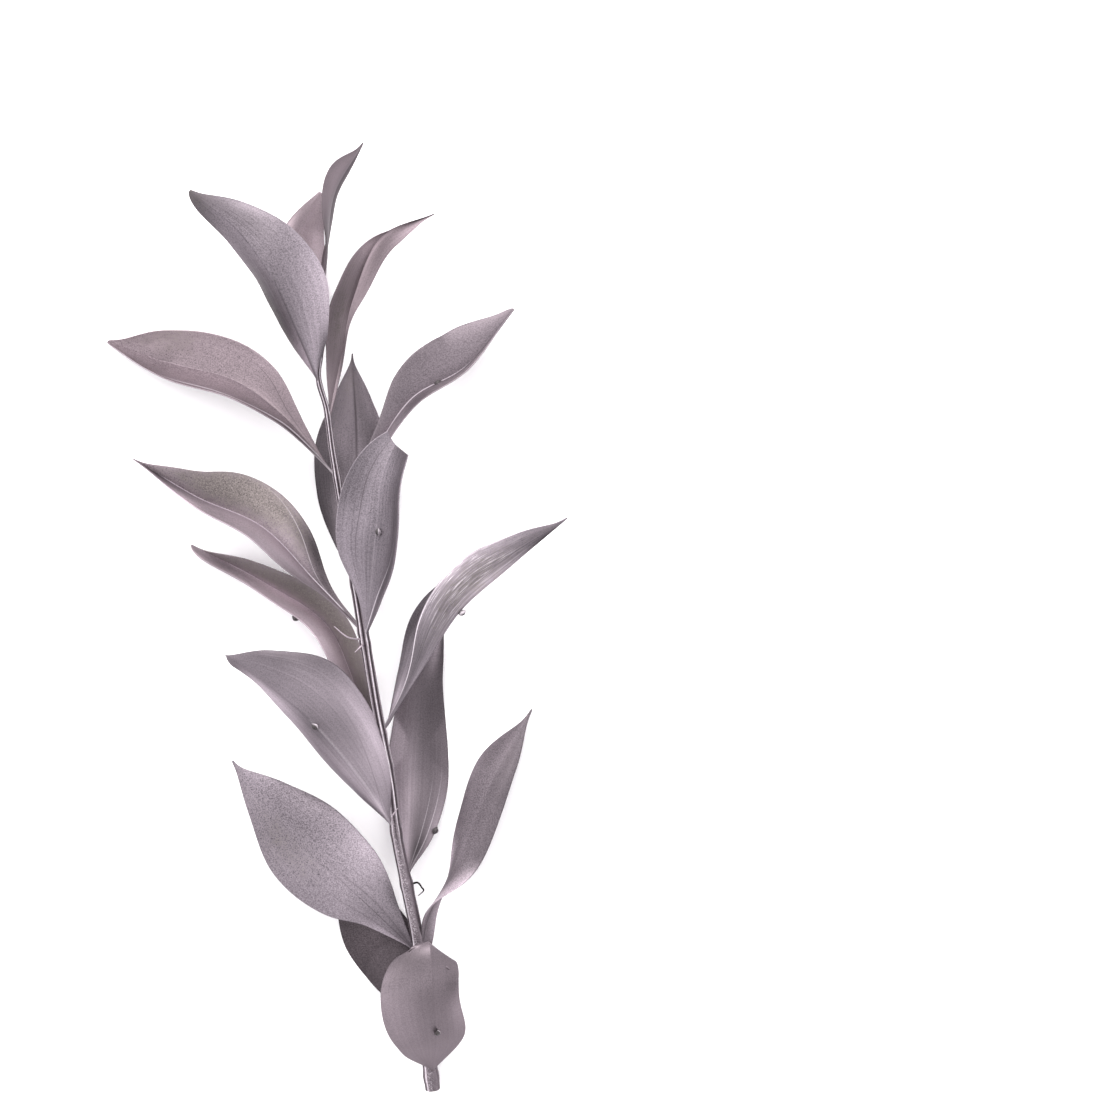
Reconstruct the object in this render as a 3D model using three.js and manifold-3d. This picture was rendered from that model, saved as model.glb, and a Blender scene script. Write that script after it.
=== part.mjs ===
// A dried ruscus stem, cut and lying on its side: one slender ribbed stem, and the stiff pointed
// blades that grow from its nodes, each with a narrow foot and a dried bud on its midrib.
// Millimetres, +Z up. The stem lies along Y, its growing end at +Y, on the plane Z = 0.
import * as THREE from "three";
import { mergeVertices } from "three/addons/utils/BufferGeometryUtils.js";
import Module from "manifold-3d";

const wasm = await Module();
wasm.setup();

// Blade dimensions.
const BLADE_THICK = 0.7;
const FOOT_HALF_WIDTH = 0.9; // where a blade leaves the stem
const TIP_HALF_WIDTH = 0.35;
const BLADE_CURL = [25, 25]; // degrees that the left and right half bend down, midrib to margin
const BLADE_ROWS = 18;
const BLADE_COLUMNS = 8;
const BUD_RADIUS = 1.1;
const BUD_LENGTH = 3;
const BUD_LIFT = 0.85; // of its radius, of its middle from the blade's middle surface
const BLADE_BUD = [0.48, -1, 0]; // where it sits: share of the length, face, place across

// Stem dimensions.
const STEM_LINE = [
  [36.5, -179, 2.6], // cut end
  [33.5, -152, 7],
  [31.3, -123, 11.5],
  [27.6, -102.5, 14.5],
  [23.5, -81.5, 17],
  [21, -59, 19],
  [16.5, -34.5, 21],
  [11.7, -8, 22],
  [7, 20, 23.5],
  [2.5, 48, 25],
  [0, 63, 26],
  [-2, 77.5, 27],
  [-5, 89.5, 28],
  [-3.5, 101.5, 29],
  [-2, 111.5, 30], // growing end
];
const STEM_RADIUS = [2.7, 2.6, 2.4, 2.25, 1.95, 1.7, 1.8, 1.75, 1.5, 1.3, 1.15, 1, 0.9, 0.8, 0.45];
const STEM_ROWS = 96;
const STEM_SIDES = 12;
const STEM_RIBS = 6;
const RIB_SHARE = 0.09; // of the stem's radius, by which a rib stands out
const NODE_SWELL = 0.12; // of the stem's radius, by which a node is thicker
const NODE_SPREAD = 2.2; // how far along the stem a node's swelling reaches
const SEAT_GAP = 0.3; // between a blade's foot and the stem

// Dried scale bracts, thread-like, at the nodes: points of each after its root on the stem's line.
const BRACT_RADIUS = [0.5, 0.3]; // at the root and at the tip
const BRACT_ROWS = 6;
const BRACT_SIDES = 4;
const BRACTS = [
  { node: -8, line: [[6, -7, 27], [1, -3, 29]] },
  { node: -9, line: [[10.5, -10.5, 26], [8.5, -12.5, 26]] },
  { node: -80, line: [[22, -74.5, 21], [24, -71, 22]] },
  {
    node: -101,
    line: [[31, -99.3, 15], [32.9, -101.3, 15], [33.5, -102.1, 15], [33.1, -102.9, 15], [31.6, -104.2, 15]],
  },
];

// Blades, from the growing end to the cut end. Angles are in degrees.
//   node   where on the stem's line the blade grows, as a Y value
//   rib    points of the midrib after the node, the last one the tip
//   left   half width of the left half at the six stations between foot and tip
//   right  half width of the right half, likewise
//   roll   turn about the midrib, left margin up, at even stations from foot to tip
//   fold   rise of both halves from the midrib, likewise: above 0 is a trough, below 0 a roof
//   curl   bend of the left and the right half
//   end    share of the length where a snapped tip ends, at the left and at the right margin
//   side   direction that the blade's left half keeps, where the midrib turns over
//   bud    share of the length where the bud sits, 1 on the upper face or -1 on the under face, and
//          its place across, from 1 at the left margin to -1
const BLADES = [
  {
    name: "blade_01",
    node: 101.5,
    rib: [[-3.8, 121.5, 23], [-2.2, 140.5, 21], [0.5, 159.5, 20], [11, 178, 18]],
    left: [1, 4.5, 9.5, 10.5, 10.2, 1.8],
    right: [1, 4.5, 10, 11.5, 7.5, 2],
    roll: [90, 98, 82, 62],
    fold: [15, 8, 0],
    bud: [0.3, -1],
  },
  {
    name: "blade_02",
    node: 96,
    rib: [[-12.5, 115, 17], [-16, 131.5, 10], [-14, 147, 6], [-6, 161, 5]],
    left: [1, 4, 7.5, 7, 4, 1.5],
    right: [1, 7.5, 12.5, 13, 9.5, 3.5],
    roll: [20, 20, 5],
    fold: [10, 5, 0],
  },
  {
    name: "blade_03",
    node: 86.5,
    rib: [[-12.5, 106.5, 37], [-21.5, 126, 41], [-34.5, 143.5, 37], [-53, 159, 27]],
    left: [1, 12, 18.5, 16.5, 9, 4.6],
    right: [1, 11.5, 18.7, 16.6, 9.2, 2.3],
    roll: [-20, -25, -30, -12],
    fold: [-30, -32, -25, -5],
  },
  {
    name: "blade_04",
    node: 74.5,
    rib: [[3, 97.5, 22], [7, 119, 18], [17, 142.4, 15], [37.5, 152, 12]],
    left: [1, 6, 10.3, 8.2, 0, 0],
    right: [1, 1.3, 1.3, 5.7, 5.8, 1.2],
    roll: [20, 20, 26, 40],
    fold: [35, 35, 35, 20],
    curl: [20, 12],
  },
  {
    name: "blade_05",
    node: 52.5,
    rib: [[-19, 75.5, 17], [-38.5, 89.5, 8], [-63.5, 96.5, 0.3], [-87, 104.5, 2]],
    left: [1, 5.5, 15, 16, 11.3, 4],
    right: [0.3, 4, 12, 14.7, 11.2, 2.9],
    roll: [28, 28, 25],
    fold: [20, 20, 20],
    curl: [-30, -20],
  },
  {
    name: "blade_06",
    node: 12.5,
    rib: [[6.5, 34, 13], [6.5, 56, 8], [6.5, 78, 7], [6.5, 99.5, 10]],
    left: [1, 7, 13.5, 14.5, 7.3, 1.3],
    right: [1, 7, 13.5, 13, 6.7, 1],
    roll: [0, 0, 0],
    fold: [8, 6, 4],
  },
  {
    name: "blade_07",
    node: 38.5,
    rib: [[14.5, 60, 18], [29.1, 81.6, 15], [50, 94.3, 11], [67.5, 116.5, 6]],
    left: [1, 3, 5.5, 15.5, 15, 4.5],
    right: [1, 3.5, 9, 11, 8, 2.5],
    roll: [-25, -35, -50],
    fold: [52, 52, 52],
    bud: [0.62, 1],
  },
  {
    name: "blade_08",
    node: -9.5,
    rib: [[14.5, 13, 30], [17, 33.5, 35], [19.5, 54, 34], [29, 75, 30]],
    left: [0.3, 4.3, 13.7, 14.8, 10, 2.5],
    right: [1, 7.8, 16.3, 16.2, 12.7, 4.6],
    roll: [-20, -25, -25],
    fold: [10, 14, 8],
    curl: [-28, -40],
    end: [0.91, 0.84],
    bud: [0.56, 1, -0.12],
  },
  {
    name: "blade_09",
    node: -5,
    rib: [[-7, 14, 21], [-27, 34, 16], [-52.5, 45.5, 10], [-77, 60, 5]],
    left: [1, 3, 11, 9.5, 6, 1.9],
    right: [1, 3, 12, 15.3, 8, 1.4],
    roll: [26, 26, 24, 30],
    fold: [45, 45, 50, 60],
  },
  {
    name: "blade_10",
    node: -55,
    rib: [[8.4, -26.8, 13], [-3.6, -2.6, 8], [-26.4, 12.7, 5], [-55, 27.5, 3]],
    left: [1, 5, 8, 7, 5, 4],
    right: [1, 5.5, 10.5, 11, 7, 0.8],
    roll: [0, 0, 0],
    fold: [55, 55, 50],
    bud: [0.6, -1, 0.95],
  },
  {
    name: "blade_11",
    node: -80,
    rib: [[10.5, -59.5, 26], [-6, -39.5, 29], [-24, -24.5, 26], [-43.5, -12, 19]],
    left: [1, 10.3, 16.6, 14, 5.7, 4],
    right: [1, 11, 19.5, 22, 11.7, 0.8],
    roll: [-14, -20, -30, -35],
    fold: [-14, -14, 0],
    curl: [50, 50],
    end: [0.93, 0.985],
    bud: [0.52, 1],
  },
  {
    name: "blade_12",
    node: -127.5,
    rib: [[16, -107, 17], [-3.5, -91, 15], [-22, -73, 11], [-39, -54, 7]],
    left: [1, 8, 16.8, 18, 9, 2.3],
    right: [1, 5.4, 15, 16.6, 9.6, 1.3],
    roll: [0, 0, 0],
    fold: [3, 2, 0],
  },
  {
    name: "blade_13",
    node: -156,
    rib: [[27, -139.5, 4], [18.5, -124.5, 0], [9, -109.5, -0.8], [-0.5, -94, 2]],
    left: [1, 8, 12.6, 13.6, 8, 2],
    right: [1, 6, 11.5, 12, 7.5, 2],
    roll: [0, 0, 0],
    fold: [12, 5, 5],
    bud: [0.7, 1],
  },
  {
    name: "blade_14",
    node: -174,
    rib: [[38.5, -156.5, 21], [37.3, -136, 32], [35.8, -120.3, 26], [30, -135, 8]],
    left: [1, 13, 19.6, 16, 4, 1],
    right: [1, 12.3, 11.6, 15.4, 11.5, 3],
    roll: [20, 25, 18, 10],
    fold: [0, -3, -27, -20],
    curl: [15, 15],
    side: [-1, 0, 0],
    bud: [0.285, 1],
  },
  {
    name: "blade_15",
    node: -43,
    rib: [[33.6, -18.5, 28], [47.6, 3, 30], [67.3, 20.4, 22], [87.5, 37.5, 12]],
    left: [1, 8.3, 16.5, 12.5, 7, 1.5],
    right: [1, 2.7, 10.5, 14.2, 9, 2],
    roll: [-85, -85, -85, -70],
    fold: [65, 65, 65, 50],
    curl: [20, -50],
    bud: [0.5, -1],
  },
  {
    name: "blade_16",
    node: -100,
    rib: [[30, -74.5, 6], [31, -50.5, 0.3], [33, -23.5, 5], [42, 2, 11]],
    left: [1, 8, 12, 10, 5, 1],
    right: [1, 8, 12, 10, 6.2, 1],
    roll: [0, 0, 0],
    fold: [4, 3, 0],
    bud: [0.2, 1, -0.95],
  },
  {
    name: "blade_17",
    node: -138.5,
    rib: [[34.8, -113.5, 13], [47.2, -90.5, 13], [59.5, -61.5, 9], [74, -35, 0.3]],
    left: [1, 4, 4.5, 9.8, 11.2, 1.8],
    right: [1, 1.5, 8, 9.4, 6.3, 1.3],
    roll: [-150, -148, -98, -48, -35, -30, -30],
    fold: [3, 2, 0],
  },
];

const radians = (degrees) => (degrees * Math.PI) / 180;

// A smooth line of numbers through even stations, t from 0 at the first to 1 at the last.
function through(stations, t) {
  const last = stations.length - 1;
  const i = Math.min(Math.floor(t * last), last - 1);
  const w = t * last - i;
  const [b, c] = [stations[i], stations[i + 1]];
  const a = i > 0 ? stations[i - 1] : 2 * b - c;
  const d = i < last - 1 ? stations[i + 2] : 2 * c - b;
  return b + (w / 2) * (c - a + w * (2 * a - 5 * b + 4 * c - d + w * (3 * (b - c) + d - a)));
}

const pointThrough = (points, t) =>
  new THREE.Vector3(...[0, 1, 2].map((axis) => through(points.map((p) => p[axis]), t)));

// Direction of a line of points at t.
function headingOf(points, t) {
  const step = 1e-3;
  const ahead = pointThrough(points, Math.min(t + step, 1));
  return ahead.sub(pointThrough(points, Math.max(t - step, 0))).normalize();
}

// A closed skin over rings of equal length, first and last ring closed by a fan. The second half
// of each ring is split the other way, so that a thin blade's two faces are split alike.
function skin(rings) {
  const count = rings[0].length;
  const points = rings.flat();
  const faces = [];
  for (let i = 0; i < rings.length - 1; i++) {
    for (let k = 0; k < count; k++) {
      const [a, b] = [i * count + k, i * count + ((k + 1) % count)];
      const [c, d] = [b + count, a + count];
      if (k < count / 2) faces.push(a, b, c, a, c, d);
      else faces.push(a, b, d, b, c, d);
    }
  }
  for (const [ring, first, turn] of [[rings[0], 0, 1], [rings.at(-1), points.length - count, 0]]) {
    const middle = ring.reduce((sum, p) => sum.add(p), new THREE.Vector3()).divideScalar(count);
    points.push(middle);
    for (let k = 0; k < count; k++) {
      const [a, b] = [first + k, first + ((k + 1) % count)];
      faces.push(points.length - 1, turn ? b : a, turn ? a : b);
    }
  }
  const geometry = new THREE.BufferGeometry().setFromPoints(points);
  geometry.setIndex(faces);
  return geometry;
}

function toSolid(geometry) {
  geometry.deleteAttribute("normal");
  geometry.deleteAttribute("uv");
  const merged = mergeVertices(geometry);
  return new wasm.Manifold(
    new wasm.Mesh({
      numProp: 3,
      vertProperties: merged.attributes.position.array,
      triVerts: new Uint32Array(merged.index.array),
    }),
  );
}

function toGeometry(solid) {
  const { vertProperties, triVerts } = solid.getMesh();
  const geometry = new THREE.BufferGeometry();
  geometry.setAttribute("position", new THREE.BufferAttribute(vertProperties, 3));
  geometry.setIndex(new THREE.BufferAttribute(triVerts, 1));
  return geometry;
}

// Share of the way along the stem's line where it reaches a Y value.
function stemShare(y) {
  let [low, high] = [0, 1];
  for (let i = 0; i < 30; i++) {
    const middle = (low + high) / 2;
    if (pointThrough(STEM_LINE, middle).y < y) low = middle;
    else high = middle;
  }
  return (low + high) / 2;
}

// Radius of the stem at a share of its line: its taper, and a swelling at each node.
function stemRadius(share) {
  const y = pointThrough(STEM_LINE, share).y;
  const swelling = BLADES.map(({ node }) => Math.exp(-(((y - node) / NODE_SPREAD) ** 2)));
  return through(STEM_RADIUS, share) * (1 + NODE_SWELL * Math.max(...swelling));
}

// The stem: ribbed rings square to its line, their radii larger by `extra` millimetres.
function stemSkin(extra = 0) {
  const rings = [];
  for (let i = 0; i <= STEM_ROWS; i++) {
    const share = i / STEM_ROWS;
    const heading = headingOf(STEM_LINE, share);
    const left = new THREE.Vector3(0, 0, 1).cross(heading).normalize();
    const up = heading.clone().cross(left);
    const centre = pointThrough(STEM_LINE, share);
    const radius = stemRadius(share);
    rings.push(
      Array.from({ length: STEM_SIDES }, (_, k) => {
        const angle = (2 * Math.PI * k) / STEM_SIDES;
        const reach = radius * (1 + RIB_SHARE * Math.cos(STEM_RIBS * angle)) + extra;
        const point = centre.clone().addScaledVector(left, -reach * Math.cos(angle));
        point.addScaledVector(up, reach * Math.sin(angle));
        point.z = Math.max(point.z, -extra); // flattened where it rests on the surface
        return point;
      }),
    );
  }
  return skin(rings.reverse());
}

// Half width of a blade's half at share t of its length. The stations are even steps of a half
// turn whose height is the share, so they lie closer together near the foot and near the tip.
function halfWidth(widths, t) {
  const turn = Math.acos(1 - 2 * t) / Math.PI;
  const width = through([FOOT_HALF_WIDTH, ...widths, TIP_HALF_WIDTH], turn);
  return Math.max(width, TIP_HALF_WIDTH);
}

// A point of a blade's middle surface: t from foot to tip, s from 1 at its left margin to -1.
function bladePoint(blade, t, s) {
  const { rib, roll, fold, curl = BLADE_CURL, end = [1, 1], side } = blade;
  const share = t * (end[0] + ((end[1] - end[0]) * (1 - s)) / 2);
  const heading = headingOf(rib, share);
  const left = side
    ? new THREE.Vector3(...side).projectOnPlane(heading).normalize()
    : new THREE.Vector3(0, 0, 1).cross(heading).normalize();
  const up = heading.clone().cross(left);
  const turn = radians(through(roll, share));
  const across = left.clone().multiplyScalar(Math.cos(turn)).addScaledVector(up, Math.sin(turn));
  const out = heading.clone().cross(across);
  const rise = radians(through(fold, share));
  const bend = radians(s > 0 ? curl[0] : curl[1]);
  const width = halfWidth(s > 0 ? blade.left : blade.right, share);
  const far = Math.abs(s);
  const reach = (width * (Math.sin(rise) - Math.sin(rise - bend * far))) / bend;
  const height = (width * (Math.cos(rise - bend * far) - Math.cos(rise))) / bend;
  const point = pointThrough(rib, share);
  point.addScaledVector(across, Math.sign(s) * reach).addScaledVector(out, height);
  point.z = Math.max(point.z, BLADE_THICK / 2); // the blade lies flat where it meets the surface
  return point;
}

// Direction in which a blade's upper face looks at (t, s).
function bladeNormal(blade, t, s) {
  const step = 0.01;
  const [back, ahead] = [Math.max(t - step, 0), Math.min(t + step, 1)];
  const [right, left] = [Math.max(s - step, -1), Math.min(s + step, 1)];
  const along = bladePoint(blade, ahead, s).sub(bladePoint(blade, back, s));
  const across = bladePoint(blade, t, left).sub(bladePoint(blade, t, right));
  return along.cross(across).normalize();
}

// A blade without its bud, as thick everywhere, its creased middle thickened to keep its edges.
function bladeSkin(blade) {
  const rings = [];
  for (let i = 0; i <= BLADE_ROWS; i++) {
    const t = (1 - Math.cos((Math.PI * i) / BLADE_ROWS)) / 2; // shorter rows near both ends
    const [top, bottom] = [[], []];
    for (let k = 0; k <= BLADE_COLUMNS; k++) {
      const s = 1 - (2 * k) / BLADE_COLUMNS;
      const middle = bladePoint(blade, t, s);
      const crease = s === 0 ? Math.max(0.5, Math.cos(radians(through(blade.fold, t)))) : 1;
      const normal = bladeNormal(blade, t, s).multiplyScalar(BLADE_THICK / 2 / crease);
      top.push(middle.clone().add(normal));
      const under = middle.clone().sub(normal);
      under.z = Math.max(under.z, 0);
      bottom.unshift(under);
    }
    rings.push([...top, ...bottom]);
  }
  return skin(rings);
}

// A dried bud: a small oval sunk into the blade, along its midrib.
function budSkin(blade) {
  const [share, face, across = 0] = blade.bud ?? BLADE_BUD;
  const bud = new THREE.SphereGeometry(1, 6, 4);
  const heading = headingOf(blade.rib, share);
  const normal = bladeNormal(blade, share, across).multiplyScalar(face);
  const frame = new THREE.Matrix4().makeBasis(heading.clone().cross(normal), heading, normal);
  frame.scale(new THREE.Vector3(BUD_RADIUS, BUD_LENGTH / 2, BUD_RADIUS));
  frame.setPosition(bladePoint(blade, share, across).addScaledVector(normal, BUD_LIFT * BUD_RADIUS));
  return bud.applyMatrix4(frame);
}

// A scale bract: a thin tapering thread from the middle of the stem.
function bractSkin({ node, line }) {
  const points = [pointThrough(STEM_LINE, stemShare(node)).toArray(), ...line];
  const rings = [];
  for (let i = 0; i <= BRACT_ROWS; i++) {
    const t = i / BRACT_ROWS;
    const heading = headingOf(points, t);
    const left = new THREE.Vector3(0, 0, 1).cross(heading).normalize();
    const up = heading.clone().cross(left);
    const radius = through(BRACT_RADIUS, t);
    rings.push(
      Array.from({ length: BRACT_SIDES }, (_, k) => {
        const angle = (2 * Math.PI * k) / BRACT_SIDES;
        const point = pointThrough(points, t).addScaledVector(left, radius * Math.cos(angle));
        return point.addScaledVector(up, radius * Math.sin(angle));
      }),
    );
  }
  return skin(rings);
}

function makeStem() {
  return BRACTS.reduce((stem, bract) => stem.add(toSolid(bractSkin(bract))), toSolid(stemSkin()));
}

function makeBlade(blade, clearance) {
  const rib = [pointThrough(STEM_LINE, stemShare(blade.node)).toArray(), ...blade.rib];
  const grown = { ...blade, rib };
  const bodies = toSolid(bladeSkin(grown)).add(toSolid(budSkin(grown))).subtract(clearance);
  // A crumb of the foot that is left beyond the stem doesn't belong to the blade.
  return bodies.decompose().reduce((a, b) => (a.volume() > b.volume() ? a : b));
}

const bladeFinish = new THREE.MeshStandardMaterial({ color: 0x958c96, roughness: 0.42, metalness: 0.55 });
const stemFinish = new THREE.MeshStandardMaterial({ color: 0x8e8590, roughness: 0.45, metalness: 0.5 });

const ruscus = new THREE.Group();

function addPiece(name, solid, material) {
  const mesh = new THREE.Mesh(toGeometry(solid), material);
  mesh.name = name;
  ruscus.add(mesh);
}

addPiece("stem", makeStem(), stemFinish);
const clearance = toSolid(stemSkin(SEAT_GAP));
for (const blade of BLADES) addPiece(blade.name, makeBlade(blade, clearance), bladeFinish);

export default ruscus;
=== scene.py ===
"""A dried ruscus stem, cut and lying on its side on a pale surface.

One slender ribbed stem carries stiff pointed blades, creased and curled as they dried, under a
satin metallic lavender coat. The tables are in millimetres, in the frame of the solids: the stem
lies along Y with its growing end at +Y, and Z is up.
"""

import bpy
import numpy as np
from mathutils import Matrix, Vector


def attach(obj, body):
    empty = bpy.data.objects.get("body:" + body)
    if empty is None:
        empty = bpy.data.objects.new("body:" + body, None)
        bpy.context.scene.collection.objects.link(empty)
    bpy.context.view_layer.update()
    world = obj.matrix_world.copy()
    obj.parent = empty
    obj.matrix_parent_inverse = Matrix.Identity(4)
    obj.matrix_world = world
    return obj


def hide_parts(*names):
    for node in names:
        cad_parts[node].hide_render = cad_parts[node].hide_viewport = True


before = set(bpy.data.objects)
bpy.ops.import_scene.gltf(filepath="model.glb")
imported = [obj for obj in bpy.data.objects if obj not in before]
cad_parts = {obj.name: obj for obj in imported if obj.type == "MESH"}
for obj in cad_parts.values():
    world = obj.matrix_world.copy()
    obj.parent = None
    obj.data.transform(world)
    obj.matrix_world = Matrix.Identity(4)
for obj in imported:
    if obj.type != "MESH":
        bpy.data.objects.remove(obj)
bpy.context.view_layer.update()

MM = 0.001

# The stem's line, points from the cut end to the growing end, and its radius at even shares of it.
STEM_LINE = [
    (36.5, -179, 2.6),
    (33.5, -152, 7),
    (31.3, -123, 11.5),
    (27.6, -102.5, 14.5),
    (23.5, -81.5, 17),
    (21, -59, 19),
    (16.5, -34.5, 21),
    (11.7, -8, 22),
    (7, 20, 23.5),
    (2.5, 48, 25),
    (0, 63, 26),
    (-2, 77.5, 27),
    (-5, 89.5, 28),
    (-3.5, 101.5, 29),
    (-2, 111.5, 30),
]
STEM_RADIUS = [2.7, 2.6, 2.4, 2.25, 1.95, 1.7, 1.8, 1.75, 1.5, 1.3, 1.15, 1, 0.9, 0.8, 0.45]
# Thread-like bracts at the nodes: the points of each after its root on the stem's line, and the
# brightness of its coat. The last one is a dark hook.
BRACTS = [
    dict(node=-8, shade=2.7, line=[(6, -7, 27), (1, -3, 29)]),
    dict(node=-9, shade=2.4, line=[(10.5, -10.5, 26), (8.5, -12.5, 26)]),
    dict(node=-80, shade=2.2, line=[(22, -74.5, 21), (24, -71, 22)]),
    dict(
        node=-101,
        shade=0.05,
        line=[
            (31, -99.3, 15),
            (32.9, -101.3, 15),
            (33.5, -102.1, 15),
            (33.1, -102.9, 15),
            (31.6, -104.2, 15),
        ],
    ),
]

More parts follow.
